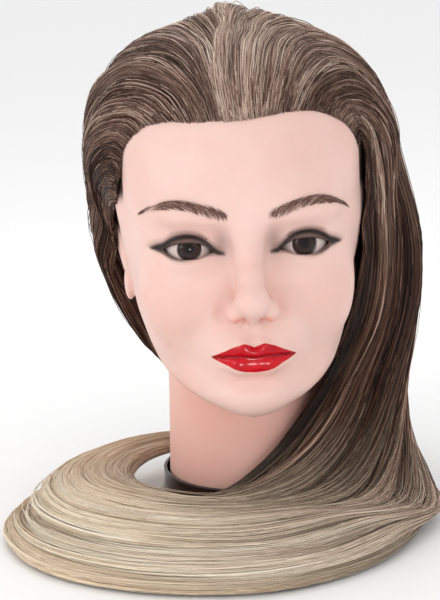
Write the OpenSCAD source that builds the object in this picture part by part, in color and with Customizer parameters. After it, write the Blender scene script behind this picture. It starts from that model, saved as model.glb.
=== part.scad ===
// Mannequin training head on a swivelling clamp socket, millimetres.
// The origin is the middle of the socket's mouth, on the table. +Z is up and the face looks along -Y.
// The base body stands on the table. The neck, skin, eyes and hair turn on it about the Z axis.

/* [Base] */
// Radius of the cup the neck stands in
cup_r = 50; // [45:0.5:56]
// Height of the cup's rim above the table
cup_top = 20; // [16:0.5:28]
// Thickness of the cup's wall
cup_wall = 1.8; // [1.2:0.1:3]
// Radius of the rubber foot
foot_r = 55; // [50:0.5:60]
// Radius of the bore that takes the clamp's post
bore_r = 12.5; // [8:0.25:16]
// Depth of that bore
bore_depth = 62; // [40:1:70]

/* [Neck] */
// Radius of the neck where it enters the cup
neck_r = 46.5; // [42:0.5:48]
// Height of the neck's lower edge above the table
neck_bottom = 9; // [7:0.5:12]
// Wall of the moulded vinyl
vinyl_wall = 2.8; // [2:0.1:4]

/* [Eyes] */
// Half the distance between the pupils
eye_x = 31.5; // [29:0.5:36]
// How far the eye centres lie in front of the neck's axis
eye_front = 68; // [60:0.5:72]
// Height of the eyes above the table
eye_z = 171; // [165:0.5:178]
// Radius of an eyeball
eye_r = 14; // [12:0.5:15]
// Half the width of the opening between the lids
lid_half_width = 13.6; // [12:0.2:15]
// Half the height of that opening
lid_half_height = 6.4; // [5:0.2:8]

/* [Hair] */
// Depth of hair over the top of the head
top_depth = 8; // [4:0.5:14]
// Depth of hair at the sides of the head
side_depth = 20; // [12:0.5:26]
// Height of the coil lying on the table
coil_height = 30; // [20:1:40]

/* [Hidden] */
socket_r = 17;
socket_top = bore_depth + 4;
run_gap = 0.05;
bush_r = socket_r + run_gap;
bush_outer = 20;
hub_r = 24;
bush_low = 10;
bush_high = 58;
clip_low = bush_high + 0.7;
clip_high = clip_low + 1.2;
screw_r = 1.5;
screw_circle = 25;
washer_top = 7.5;
plug_low = washer_top + 0.35;
plug_top = 16;
plug_r = neck_r - vinyl_wall - 0.1;
tack_z = 13;
lid_r = eye_r + 2.4;
round_n = 96;

// The head, row by row from the neck's lower edge to the crown. Each row is
// [front y, front z, side x, side y, side z, back y, back z, roundness, how far its offsets tilt up].
HEAD = [
  [-46.5, 9, 46.5, 0, 9, 46.5, 9, 2, 0],
  [-46, 24, 46.2, 0, 26, 46.5, 26, 2, 0],
  [-45.5, 42, 46, 0, 52, 47, 50, 2, 0],
  [-47, 56, 46.5, 1, 76, 49, 70, 2, 0.2],
  [-52, 64, 48, 1, 92, 53, 86, 1.95, 0.5],
  [-62, 69, 50.5, 0, 102, 57, 98, 1.9, 0.8],
  [-74, 72, 53, -2, 109, 62, 108, 1.85, 1],
  [-83, 76, 56, -4, 115, 67, 117, 1.85, 1],
  [-88.5, 82, 58.5, -6, 121, 72, 125, 1.9, 1],
  [-90, 89, 60.5, -7, 127, 77, 133, 1.95, 1],
  [-89, 97, 62, -8, 133, 81, 141, 2, 1],
  [-88.5, 104, 63.5, -8, 138, 85, 148, 2.05, 1],
  [-88.5, 111, 64.5, -8, 143, 88, 154, 2.1, 1],
  [-89, 118, 65.5, -8, 148, 90.5, 160, 2.1, 1],
  [-89.5, 126, 66.5, -8, 153, 92.5, 166, 2.1, 1],
  [-89.5, 134, 67.5, -8, 158, 94, 172, 2.15, 1],
  [-89.5, 143, 68.5, -8, 164, 95.5, 178, 2.15, 1],
  [-89.5, 152, 69.5, -8, 170, 96.5, 184, 2.2, 1],
  [-90, 161, 70.3, -8, 176, 97, 189, 2.2, 1],
  [-91, 170, 71, -8, 182, 97, 194, 2.2, 1],
  [-93, 180, 72, -7, 189, 97, 199, 2.2, 1],
  [-95.5, 190, 73, -6, 196, 96.5, 204, 2.2, 1],
  [-97, 200, 73.8, -5, 204, 95.5, 210, 2.15, 1],
  [-96.5, 211, 74.3, -3, 213, 93.5, 217, 2.1, 1],
  [-94, 223, 73.8, 0, 223, 90, 225, 2.1, 1],
  [-89.5, 235, 71, 2, 235, 85, 235, 2.05, 1],
  [-82, 247, 65.5, 3, 247, 77, 247, 2, 1],
  [-71, 258, 57, 4, 258, 66, 258, 2, 1],
  [-57, 268, 46, 5, 268, 54, 268, 2, 1],
  [-40, 276, 33.5, 5, 276, 40, 276, 2, 1],
  [-22, 282, 20.5, 5, 282, 26, 282, 2, 1],
  [-6, 285.3, 8.5, 5, 285.3, 13, 285.3, 2, 1],
];
apex = [0, 5, 286];
crown_row = 27.6;
scalp_gap = 1.4;
last_row = len(HEAD) - 1;
row_steps = concat([0, 1, 2, 3, 4], [for (t = [5 : 0.5 : 8.5]) t], [for (i = [27 : 50]) i / 3],
                   [for (t = [17 : 0.5 : 19.5]) t], [for (t = [20 : 1 : last_row]) t]);
inner_steps = concat([0, 1, 2, 3, 4], [for (t = [5 : 1 : last_row]) t]);
function front_angles(count) = [for (j = [0 : count - 1]) let (u = 2 * j / count - 1) 180 * (0.38 * u + 0.62 * u * u * u)];

// Low edge of the hair on the scalp, as [angle from the face, row of HEAD]: temples, ears, nape.
HAIRLINE = [[-180, 6], [-150, 6.4], [-128, 10.5], [-110, 15], [-96, 19.6], [-80, 20.2], [-66, 21.6], [-52, 23.4], [-38, 25],
            [-22, 25.7], [0, 25.2], [22, 26.1], [38, 25.3], [52, 23.6], [66, 21.6], [80, 20.2], [96, 19.6], [110, 15],
            [128, 10.5], [150, 6.4], [180, 6]];

// Plan of the coil, as [angle clockwise from +X, inner radius, outer radius, height].
COIL = [[-62, 60, 92, 22], [-30, 60, 104, 27], [0, 59, 109, 30], [20, 59, 118, 30], [45, 60, 135, 30], [60, 67, 144, 29],
        [70, 67, 150, 28], [90, 67, 159, 27], [115, 67, 163, 26], [140, 69, 160, 25], [156, 70, 149, 24], [168, 71, 128, 24],
        [182, 68, 109, 24], [205, 63, 90, 22], [231, 60, 76, 19], [260, 59, 73, 15], [297, 60, 76, 14]];

function mix(a, b, f) = a * (1 - f) + b * f;
function bump(x, sx, z, sz) = exp(-pow(x / sx, 2) - pow(z / sz, 2));
function row_at(t) = let (i = min(floor(t), last_row - 1)) mix(HEAD[i], HEAD[i + 1], t - i);
function power(v, p) = sign(v) * pow(abs(v), p);
function column(table, k) = [for (r = table) [r[0], r[k]]];
function at(table, k, a) = lookup(a, column(table, k));

// How far the features of the face stand forward (negative) or back at a point of its front.
function features(x, z) =
    let (ax = abs(x))
    -12.5 * bump(x, 9, z - 146, 8)
    - 7 * bump(x, 13, z - 143, 9)
    - 9 * bump(x, 8.5, z - 158, 13)
    - 4 * bump(x, 8, z - 173, 10)
    - 3 * bump(ax - 11, 5.5, z - 139, 5.5)
    - 5 * bump(x, 20, z - 116.5, 3.8)
    - 6 * bump(x, 17, z - 107, 4.4)
    + 2.5 * bump(x, 18, z - 98, 4.5)
    - 2 * bump(x, 16, z - 86, 9)
    + 5.5 * bump(ax - eye_x, 15, z - eye_z, 10)
    - 1.5 * bump(ax - 34, 20, z - 190, 6)
    - 1.5 * bump(ax - 42, 16, z - 150, 13);

// A point of the head's surface at row t and angle a from the face, moved in by d (out when d is negative).
function head_point(t, a, d) =
    let (
        r = row_at(t),
        c = cos(a),
        s = sin(a),
        e = 2 / r[7],
        front = c > 0,
        x = r[2] * power(s, e),
        y = r[3] + ((front ? r[0] : r[5]) - r[3]) * pow(abs(c), e),
        z = r[4] + ((front ? r[1] : r[6]) - r[4]) * c * c,
        p = [x, y + (front ? features(x, z) * c : 0), z],
        middle = [0, -10 * r[8], mix(z, max(120, min(z, 190)), r[8])],
        out = (p - middle) / norm(p - middle)
    )
    p - d * out;

// A closed solid from rings of equal length. A point above the last ring closes it when tip is given.
// With ladder, each ring folds back on itself and its end is closed rung by rung.
module rings_solid(rings, tip = undef, ladder = false) {
    n = len(rings[0]);
    m = len(rings);
    top = (m - 1) * n;
    points = [for (r = rings) each r];
    sides = [for (i = [0 : m - 2]) for (j = [0 : n - 1]) let (k = (j + 1) % n)
             each [[i * n + j, (i + 1) * n + j, i * n + k], [i * n + k, (i + 1) * n + j, (i + 1) * n + k]]];
    rungs = [for (k = [0 : n / 2 - 2]) each [[k, k + 1, n - 2 - k], [k, n - 2 - k, n - 1 - k]]];
    low = ladder ? rungs : [[for (j = [0 : n - 1]) j]];
    high = ladder ? [for (r = rungs) [top + r[2], top + r[1], top + r[0]]]
        : is_undef(tip) ? [[for (j = [n - 1 : -1 : 0]) top + j]]
        : [for (j = [0 : n - 1]) [top + (j + 1) % n, top + j, m * n]];
    polyhedron(points = is_undef(tip) ? points : concat(points, [tip]), faces = concat(sides, low, high));
}

module head_solid(d, rows, columns) {
    rings_solid([for (t = rows) [for (a = front_angles(columns)) head_point(t, a, d)]], apex - [0, 0, d]);
}

// A thick patch of hair over the scalp between two angles, from the hairline up to the crown.
// It starts low_depth deep at the hairline and reaches its full depth a third of the way up.
module scalp_patch(a0, a1, na, nv, low_depth = 3) {
    high = crown_row - 0.15;
    grid = [for (i = [0 : na]) let (a = mix(a0, a1, i / na), low = at(HAIRLINE, 1, wrap(a)))
            [for (k = [0 : nv]) [mix(low, high, k / nv), a, k / nv]]];
    section = [for (g = grid) concat(
        [for (q = g) head_point(q[0], q[1], -scalp_gap)],
        [for (k = [nv : -1 : 0]) head_point(g[k][0], g[k][1], -hair_depth(g[k][1], g[k][2], low_depth))])];
    rings_solid(section, ladder = true);
}
function wrap(a) = a > 180 ? a - 360 : (a < -180 ? a + 360 : a);
function hair_depth(a, v, low_depth) =
    let (
        side = pow(abs(sin(wrap(a))), 1.5),
        back = max(0, -cos(a)),
        full = mix(top_depth, side_depth, side * (1 - v * 0.55)) + 4 * back
    )
    mix(low_depth, full, min(1, v * 3));

// A bundle of hair through rings given as [centre, half width vector, half height vector].
// Half width, half height and the way the bundle runs are left-handed, so that its faces point outwards.
module bundle(stations, n = 18, e = 0.8) {
    rings_solid([for (s = stations) [for (j = [0 : n - 1])
        s[0] + s[1] * power(cos(-360 * j / n), e) + s[2] * power(sin(-360 * j / n), e)]]);
}

// A stretch of the coil between two clockwise angles, with its rounded section.
module coil_stretch(a0, a1, steps) {
    bundle([for (i = [0 : steps])
        let (
            a = mix(a0, a1, i / steps),
            inner = at(COIL, 1, a),
            outer = at(COIL, 2, a),
            h = at(COIL, 3, a),
            dir = [cos(-a), sin(-a), 0]
        )
        [dir * (inner + outer) / 2 + [0, 0, 0.3 + h / 2], dir * (outer - inner) / 2, [0, 0, -h / 2]]], 22, 0.72);
}

module ring(r0, r1, z0, z1) {
    translate([0, 0, z0])
        difference() {
            cylinder(r = r1, h = z1 - z0, $fn = round_n);
            translate([0, 0, -1])
                cylinder(r = r0, h = z1 - z0 + 2, $fn = round_n);
        }
}

module around(count, start = 0) {
    for (i = [0 : count - 1])
        rotate([0, 0, start + 360 * i / count])
            children();
}

/* Base body: stands on the table and takes the clamp. */

module foot_ring() {
    color([0.16, 0.13, 0.13])
        rotate_extrude($fn = round_n)
            polygon([[40, 0], [foot_r, 0], [foot_r, 1.2], [cup_r + 1.4, 5.4], [cup_r, 5.4], [cup_r, 3], [40, 3]]);
}

module base_cup() {
    color([0.13, 0.08, 0.07])
        rotate_extrude($fn = round_n)
            polygon([[socket_r, 3], [cup_r, 3], [cup_r, cup_top - 0.5], [cup_r - 0.5, cup_top],
                     [cup_r - cup_wall + 0.3, cup_top], [cup_r - cup_wall, cup_top - 0.3],
                     [cup_r - cup_wall, 6], [socket_r, 6]]);
}

module clamp_socket() {
    color([0.1, 0.1, 0.11])
        difference() {
            rotate_extrude($fn = round_n)
                polygon([[0, 0], [socket_r - 0.6, 0], [socket_r, 0.6], [socket_r, 6], [30, 6], [30, 8.5], [socket_r, 8.5],
                         [socket_r, clip_low], [socket_r - 1, clip_low], [socket_r - 1, clip_high],
                         [socket_r, clip_high], [socket_r, socket_top - 1], [socket_r - 1, socket_top], [0, socket_top]]);
            translate([0, 0, -1])
                cylinder(r = bore_r, h = bore_depth + 1, $fn = round_n);
            around(4, 45)
                translate([screw_circle, 0, 5])
                    cylinder(r = screw_r, h = 5, $fn = 32);
        }
}

module socket_screws() {
    color([0.7, 0.7, 0.72])
        around(4, 45)
            translate([screw_circle, 0, 0])
                union() {
                    translate([0, 0, 6.2])
                        cylinder(r = screw_r - 0.02, h = 2.6, $fn = 32);
                    difference() {
                        translate([0, 0, 8.5])
                            cylinder(r1 = 2.9, r2 = 2.3, h = 1.7, $fn = 32);
                        translate([0, 0, 9.4])
                            linear_extrude(height = 2) {
                                square([3.2, 0.7], center = true);
                                square([0.7, 3.2], center = true);
                            }
                    }
                }
}

module thrust_washer() {
    color([0.85, 0.84, 0.8])
        ring(32, 45, 6, washer_top);
}

module retaining_clip() {
    color([0.75, 0.75, 0.77])
        translate([0, 0, clip_low + 0.05])
            rotate([0, 0, 15])
                rotate_extrude(angle = 330, $fn = round_n)
                    translate([socket_r - 0.95, 0])
                        square([3.4, clip_high - clip_low - 0.1]);
}

/* Head body: everything that turns on the base. */

module neck_plug() {
    color([0.3, 0.28, 0.27])
        difference() {
            rotate_extrude($fn = round_n)
                polygon([[bush_outer, 11.5], [31.5, 11.5], [31.5, plug_low], [plug_r - 0.8, plug_low],
                         [plug_r, plug_low + 0.8], [plug_r, plug_top], [hub_r + 3, plug_top],
                         [hub_r, plug_top + 3], [hub_r, 54], [hub_r - 1, 55], [bush_outer, 55]]);
            around(6, 30)
                tack(0);
        }
}

module neck_bush() {
    color([0.88, 0.87, 0.82])
        ring(bush_r, bush_outer, bush_low, bush_high);
}

module tack(d) {
    translate([36, 0, tack_z])
        rotate([0, 90, 0])
            union() {
                cylinder(r = 1 - d, h = neck_r - 35.6, $fn = 24);
                translate([0, 0, neck_r - 36.3])
                    cylinder(r1 = 1, r2 = 1.9, h = 0.9, $fn = 24);
            }
}

module neck_tacks() {
    color([0.7, 0.68, 0.62])
        around(6, 30)
            tack(0);
}

// Outline of an ear seen from the side, standing out from the head.
module ear(side) {
    translate([side * 66.5, 7, 153])
        rotate([10, side * 8, side * 14])
            difference() {
                scale([7, 15, 29])
                    sphere(r = 1, $fn = 24);
                translate([side * 7, -2, 4])
                    scale([4, 8, 17])
                        sphere(r = 1, $fn = 20);
            }
}

module eye_opening() {
    reach = (lid_half_width * lid_half_width - lid_half_height * lid_half_height) / (2 * lid_half_height);
    rotate([90, 0, 0])
        linear_extrude(height = 30)
            intersection() {
                translate([0, reach])
                    circle(r = lid_half_height + reach, $fn = 90);
                translate([0, -reach])
                    circle(r = lid_half_height + reach, $fn = 90);
            }
}

module skin() {
    color([0.93, 0.76, 0.71])
        resize([0, 0, 0])
            difference() {
                union() {
                    head_solid(0, row_steps, 54);
                    for (side = [-1, 1]) {
                        ear(side);
                        translate([side * eye_x, -eye_front, eye_z])
                            sphere(r = lid_r, $fn = 32);
                    }
                }
                for (side = [-1, 1])
                    translate([side * eye_x, -eye_front, eye_z]) {
                        sphere(r = eye_r + 0.3, $fn = 36);
                        rotate([0, side * -4, 0])
                            eye_opening();
                    }
                head_solid(vinyl_wall, inner_steps, 36);
                translate([0, 0, neck_bottom - 4])
                    cylinder(r = neck_r - vinyl_wall, h = plug_top + 5.5 - neck_bottom, $fn = round_n);
                around(6, 30)
                    tack(0);
            }
}

module place_eye(side) {
    translate([side * eye_x, -eye_front, eye_z])
        rotate([90, 0, 0])
            children();
}

iris_r = 7.3;
iris_back = 10.2;
iris_front = 11.4;
cornea_r = 9.54;
cornea_back = 5.36;

module eye_ball(side) {
    color([0.94, 0.93, 0.9])
        place_eye(side)
            difference() {
                sphere(r = eye_r, $fn = 64);
                sphere(r = eye_r - 1.6, $fn = 64);
                cylinder(r = iris_r + 0.1, h = 30, $fn = 64);
                translate([0, 0, -30])
                    cylinder(r = 30, h = 24, $fn = 64);
            }
}

module eye_iris(side) {
    color([0.24, 0.13, 0.08])
        place_eye(side)
            translate([0, 0, iris_back])
                cylinder(r = iris_r, h = iris_front - iris_back, $fn = 64);
}

module eye_cornea(side) {
    color([0.9, 0.93, 0.95, 0.3])
        place_eye(side)
            intersection() {
                translate([0, 0, cornea_back])
                    sphere(r = cornea_r, $fn = 64);
                translate([0, 0, iris_front + 0.05])
                    cylinder(r = iris_r, h = 10, $fn = 64);
            }
}

module eye_holder(side) {
    color([0.8, 0.78, 0.74])
        place_eye(side)
            difference() {
                sphere(r = lid_r - 0.8, $fn = 64);
                sphere(r = eye_r + 0.05, $fn = 64);
                translate([0, 0, -6])
                    cylinder(r = 40, h = 40, $fn = 64);
            }
}

// A hanging bundle of the fall, as rows of [z, low x, high x], between two values of y.
module fall(rows, y0, y1) {
    bundle([for (r = rows)
        [[(r[1] + r[2]) / 2, (y0 + y1) / 2, r[0]], [(r[2] - r[1]) / 2, 0, 0], [0, (y1 - y0) / 2, 0]]], 20);
}

module hair_top() {
    angles = [for (j = [0 : 39]) -180 + 9 * j];
    rows = [crown_row, 28.5, 29.5, 30.4, 31];
    inner = [for (t = rows) [for (a = angles) head_point(t, a, -scalp_gap)]];
    outer = [for (t = rows) let (f = (t - crown_row) / (31 - crown_row))
             [for (a = angles) head_point(t, a, -mix(hair_depth(a, 1, 3), top_depth, f))]];
    color([0.3, 0.2, 0.16])
        rings_solid(concat([for (i = [4 : -1 : 0]) inner[i]], outer));
}

module hair_front() {
    color([0.3, 0.2, 0.16])
        scalp_patch(-40, 40, 16, 6);
}

module hair_side_right() {
    color([0.27, 0.18, 0.15])
        scalp_patch(-106, -40.6, 14, 8);
}

module hair_side_left() {
    color([0.27, 0.18, 0.15])
        scalp_patch(40.6, 106, 14, 8, 18);
}

module hair_behind_right() {
    color([0.24, 0.16, 0.13])
        scalp_patch(-150, -106.6, 10, 12, 9);
}

module hair_behind_left() {
    color([0.24, 0.16, 0.13])
        scalp_patch(106.6, 150, 10, 12, 18);
}

module hair_back() {
    color([0.24, 0.16, 0.13])
        scalp_patch(150.6, 209.4, 12, 12, 10);
}

module hair_fall_front() {
    color([0.32, 0.22, 0.18])
        fall([[184, 75, 92], [172, 74, 97], [155, 73, 101], [140, 72, 102], [120, 69, 101], [100, 65, 99], [80, 63, 98],
              [55, 62, 99], [40, 62, 102], [31, 62, 104]], -52, -10);
}

module hair_fall_rear() {
    color([0.32, 0.22, 0.18])
        fall([[166, 79, 100], [161, 79, 103], [152, 79, 104], [140, 79, 105], [120, 76, 104], [100, 70, 102], [80, 63, 101],
              [55, 60, 103], [40, 60, 105], [31, 60, 106]], -9, 34);
}

// The hair from the right side that runs behind the neck, as [angle, radius, z, half width, half height].
NAPE = [[215, 86, 102, 7, 10], [224, 87, 94, 8, 13], [236, 84, 85, 8, 15], [252, 79, 73, 8.5, 16],
        [275, 76, 60, 8.5, 16], [295, 76, 49, 8, 14], [309, 76, 42, 5.5, 10]];

module hair_nape_sweep() {
    color([0.3, 0.21, 0.17])
        bundle([for (s = NAPE) let (dir = [cos(-s[0]), sin(-s[0]), 0])
            [dir * s[1] + [0, 0, s[2]], dir * s[3], [0, 0, -s[4]]]]);
}

module hair_back_sweep() {
    color([0.3, 0.21, 0.17])
        bundle([
            [[4, 92, 98], [16, 0, 0], [0, 9, 2]],
            [[20, 96, 84], [16, 0, 4], [0, 10, 2]],
            [[42, 94, 66], [15, -4, 6], [2, 10, 2]],
            [[60, 86, 48], [13, -6, 6], [4, 10, 2]],
            [[70, 76, 36], [11, -7, 0], [5, 9, 0]],
        ]);
}

// The darker inner strands that cross in front of the neck, as [angle, radius, z, half width, half height].
SWEEP = [[28, 55, 86, 5, 12], [42, 56.5, 66, 6, 14], [56, 58.5, 50, 6.5, 15], [70, 60, 34, 5.5, 15], [82, 61, 22, 5.2, 15],
         [95, 61.2, 15.5, 5.2, 14], [115, 61.2, 14, 5.2, 13], [135, 62, 13, 5.4, 12], [155, 63.5, 12, 5.4, 11], [172, 65, 11, 4.4, 10]];

module hair_front_sweep() {
    color([0.28, 0.2, 0.17])
        bundle([for (s = SWEEP) let (dir = [cos(-s[0]), sin(-s[0]), 0])
            [dir * s[1] + [0, 0, s[2]], dir * s[3], [0, 0, -s[4]]]]);
}

module hair_coil_right() {
    color([0.45, 0.36, 0.28])
        coil_stretch(-62, 57, 12);
}

module hair_coil_front() {
    color([0.72, 0.62, 0.48])
        coil_stretch(57.3, 118, 8);
}

module hair_coil_left() {
    color([0.74, 0.65, 0.5])
        coil_stretch(118.3, 182, 8);
}

module hair_coil_back() {
    color([0.62, 0.53, 0.41])
        coil_stretch(182.3, 240, 7);
}

module hair_tail() {
    color([0.66, 0.57, 0.44])
        coil_stretch(240.4, 297, 6);
}

foot_ring();
base_cup();
clamp_socket();
socket_screws();
thrust_washer();
retaining_clip();
neck_plug();
neck_bush();
neck_tacks();
skin();
eye_ball(-1);  // eye_ball_right
eye_iris(-1);  // eye_iris_right
eye_cornea(-1);  // eye_cornea_right
eye_holder(-1);  // eye_holder_right
eye_ball(1);  // eye_ball_left
eye_iris(1);  // eye_iris_left
eye_cornea(1);  // eye_cornea_left
eye_holder(1);  // eye_holder_left
hair_top();
hair_front();
hair_side_right();
hair_side_left();
hair_behind_right();
hair_behind_left();
hair_back();
hair_fall_front();
hair_fall_rear();
hair_nape_sweep();
hair_back_sweep();
hair_front_sweep();
hair_coil_right();
hair_coil_front();
hair_coil_left();
hair_coil_back();
hair_tail();
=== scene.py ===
import math

import bpy
import numpy as np
from mathutils import Matrix, Vector


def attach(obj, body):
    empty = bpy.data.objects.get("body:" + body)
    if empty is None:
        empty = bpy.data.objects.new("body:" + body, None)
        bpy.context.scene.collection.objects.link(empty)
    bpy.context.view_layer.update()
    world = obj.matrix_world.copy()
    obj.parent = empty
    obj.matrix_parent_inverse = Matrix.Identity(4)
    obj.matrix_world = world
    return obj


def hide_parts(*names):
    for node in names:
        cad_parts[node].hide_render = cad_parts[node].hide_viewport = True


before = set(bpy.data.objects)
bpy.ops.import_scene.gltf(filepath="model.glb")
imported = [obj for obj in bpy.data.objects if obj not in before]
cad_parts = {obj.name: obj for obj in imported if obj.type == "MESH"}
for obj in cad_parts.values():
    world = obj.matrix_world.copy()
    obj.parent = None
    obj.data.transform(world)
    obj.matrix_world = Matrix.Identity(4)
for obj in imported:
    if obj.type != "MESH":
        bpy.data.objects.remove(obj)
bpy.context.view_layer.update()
MM = 0.001


# ---------------------------------------------------------------- distance fields, millimetres

def smin(a, b, k):
    h = np.clip(0.5 + 0.5 * (b - a) / k, 0, 1)
    return b + (a - b) * h - k * h * (1 - h)


def smax(a, b, k):
    return -smin(-a, -b, k)


def length(*parts):
    return np.sqrt(sum(q * q for q in parts))


def ellipsoid(p, c, r):
    q = [(p[i] - c[i]) / r[i] for i in range(3)]
    k0 = length(*q)
    k1 = length(*[q[i] / r[i] for i in range(3)])
    return k0 * (k0 - 1) / np.maximum(k1, 1e-6)


def capsule(p, a, b, ra, rb, squash=(1, 1, 1)):
    a = np.array(a, float)
    b = np.array(b, float)
    s = np.array(squash, float)
    d = (b - a) / s
    q = [(p[i] - a[i]) / s[i] for i in range(3)]
    t = np.clip((q[0] * d[0] + q[1] * d[1] + q[2] * d[2]) / d.dot(d), 0, 1)
    return (length(*[q[i] - d[i] * t for i in range(3)]) - (ra + (rb - ra) * t)) * s.min()


def chain(p, pts, radii, k=1.0, squash=(1, 1, 1)):
    out = None
    for i in range(len(pts) - 1):
        c = capsule(p, pts[i], pts[i + 1], radii[i], radii[i + 1], squash)
        out = c if out is None else smin(out, c, k)
    return out


def smooth_table(keys, values):
    """A smooth curve through (keys, values), as a dense table for np.interp."""
    keys = np.array(keys, float)
    values = np.array(values, float)
    slope = np.gradient(values, keys)
    dense = np.linspace(keys[0], keys[-1], 600)
    i = np.clip(np.searchsorted(keys, dense, side="right") - 1, 0, len(keys) - 2)
    h = keys[i + 1] - keys[i]
    t = (dense - keys[i]) / h
    out = ((2 * t ** 3 - 3 * t ** 2 + 1) * values[i] + (t ** 3 - 2 * t ** 2 + t) * h * slope[i]
           + (3 * t ** 2 - 2 * t ** 3) * values[i + 1] + (t ** 3 - t ** 2) * h * slope[i + 1])
    return dense, out


# Level cuts of the head: height, front, widest point, back, half width, roundness.
CUTS = np.array([
    [73.4, -75.5, -74, -72, 2.5, 2.0],
    [75, -80.5, -71, -62, 10, 2.0],
    [78, -84.5, -67, -54, 19, 2.0],
    [82, -87.5, -60, -46, 29.5, 2.0],
    [87, -89, -51, -36, 39, 2.0],
    [94, -88.2, -42, -22, 47, 2.02],
    [104, -86.5, -30, 0, 53.5, 2.08],
    [116, -87, -18, 28, 58.6, 2.12],
    [126, -87.5, -8, 54, 62, 2.15],
    [136, -88, -3, 73, 63.4, 2.13],
    [150, -88, -3, 86, 66.2, 2.13],
    [160, -88, -5, 91, 68.2, 2.14],
    [170, -89, -5, 94.5, 69.8, 2.16],
    [180, -91.3, -5, 96.5, 71.4, 2.16],
    [190, -94.3, -5, 97, 72.6, 2.15],
    [200, -96.3, -4, 96.5, 73.6, 2.15],
    [210, -97, -3, 95, 74.2, 2.12],
    [220, -96, -1, 92, 74, 2.1],
    [230, -93, 0, 87.5, 72.2, 2.06],
    [240, -88, 1, 81.5, 68.6, 2.04],
    [250, -80.5, 2, 74, 63, 2.0],
    [260, -70, 3, 64, 55, 2.0],
    [268, -58, 4, 54, 46, 2.0],
    [275, -44, 5, 42, 35.5, 2.0],
    [281, -27, 5, 28, 22.5, 2.0],
    [285, -8, 5, 14, 9.5, 2.0],
    [286.3, 2, 5, 8, 2.5, 2.0]])
CUT_CURVES = [smooth_table(CUTS[:, 0], CUTS[:, k]) for k in range(1, 6)]
EYE = np.array([31.5, -68.0, 171.0])
EYE_R = 14.0
PLUG_BORE = 43.7
HUB_BORE = 24.6
IRIS_R = 6.7
LEAN = -1.5  # the brows, eyes and nose sit this far to one side
# Lid edges over the eye's centre, by the distance from it towards the temple.
LID_X = [-15.5, -13.6, -10, -5, 0, 5, 9, 12, 13.8, 15.5]
LID_TOP = smooth_table(LID_X, [-2.6, -1.8, 0.8, 3.1, 3.9, 3.5, 2.4, 1.0, 0.0, -0.4])
LID_LOW = smooth_table(LID_X, [-2.6, -2.7, -3.6, -5.1, -5.6, -5.2, -4.0, -2.4, -1.2, -0.4])


def face_x(p):
    """Distance sideways from the middle of the face, which leans a little towards its top."""
    t = np.clip((p[2] - 105) / 60, 0, 1)
    return p[0] - LEAN * t * t * (3 - 2 * t) * np.clip((-30 - p[1]) / 20, 0, 1)


def stack(p):
    """Rough distance to the plain head shape without its features."""
    z = np.clip(p[2], 73.4, 286.3)
    front, mid, back, half, n = [np.interp(z, *c) for c in CUT_CURVES]
    y = p[1] - mid
    depth = np.where(y < 0, mid - front, back - mid)
    q = (np.abs(p[0] / half) ** n + np.abs(y / np.maximum(depth, 0.5)) ** n) ** (1 / n)
    d = (q - 1) * np.minimum(half, np.maximum(depth, 0.5))
    return d + np.abs(p[2] - z) * 0.9


def neck_field(p):
    """A round neck that leans back towards its top."""
    x, y, z = p
    middle = np.interp(z, [0, 60, 120, 160], [0, 1, 10, 18])
    radius = np.interp(z, [0, 9, 40, 80, 120], [47, 46.6, 45.6, 44.6, 46])
    return np.maximum(length(x, (y - middle) / 1.02) - radius, z - 150)


def add_brow_cheeks_chin(m, d):
    d = smin(d, ellipsoid(m, (26, -78, 193), (22, 13, 8)), 14)
    d = smin(d, ellipsoid(m, (36, -64, 144), (21, 17.5, 25)), 22)
    d = smax(d, -ellipsoid(m, (84, -54, 200), (14, 28, 24)), 14)
    d = smin(d, ellipsoid(m, (0, -78.5, 87), (15, 11, 10.5)), 10)
    # hollows under the lower lip and beside the mouth, then the mound the lips sit on
    d = smax(d, -ellipsoid(m, (0, -94.6, 98.3), (16, 7.6, 4.4)), 6)
    d = smax(d, -ellipsoid(m, (37, -95, 106), (7, 15, 15)), 16)
    d = smin(d, ellipsoid(m, (0, -74.5, 115), (25, 17.5, 17)), 12)
    # eye sockets
    d = smax(d, -ellipsoid(m, (30, -95, 172), (19, 14.6, 11)), 9)
    return smax(d, -ellipsoid(m, (15.0, -96, 172), (6, 10.2, 11)), 8)


def add_nose(m, d):
    bridge = chain(m, [(0, -87, 186), (0, -90.5, 173), (0, -97.5, 158), (0, -102.6, 147.0)],
                   [6.5, 5.0, 5.4, 7.4], 3)
    behind = chain(m, [(0, -85, 180), (0, -87, 166), (0, -90, 154), (0, -93, 143)],
                   [5.0, 5.0, 5.6, 6.5], 3)
    d = smin(d, behind, 5)
    d = smin(d, bridge, 10)
    # tip, wings and the strip between the nostrils
    d = smin(d, ellipsoid(m, (0, -102.8, 145.2), (9.0, 9.0, 8.4)), 4)
    d = smin(d, ellipsoid(m, (9.6, -95.2, 138.8), (5.3, 8.4, 6.6)), 3.6)
    d = smin(d, capsule(m, (0, -102.5, 139.5), (0, -91.5, 131.0), 3.2, 3.6), 3)
    # nostrils, the fold beside each wing and the groove above the lip
    d = smax(d, -capsule(m, (5.6, -101.0, 133.2), (7.4, -95.6, 133.8), 2.1, 2.2, (1, 1, 0.9)), 1.2)
    d = smax(d, -capsule(m, (15.4, -92.5, 144), (17.2, -89.0, 135.0), 1.0, 1.0), 4.5)
    return smax(d, -capsule(m, (0, -92.8, 131), (0, -95.0, 123), 1.3, 2.2), 4)


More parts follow.
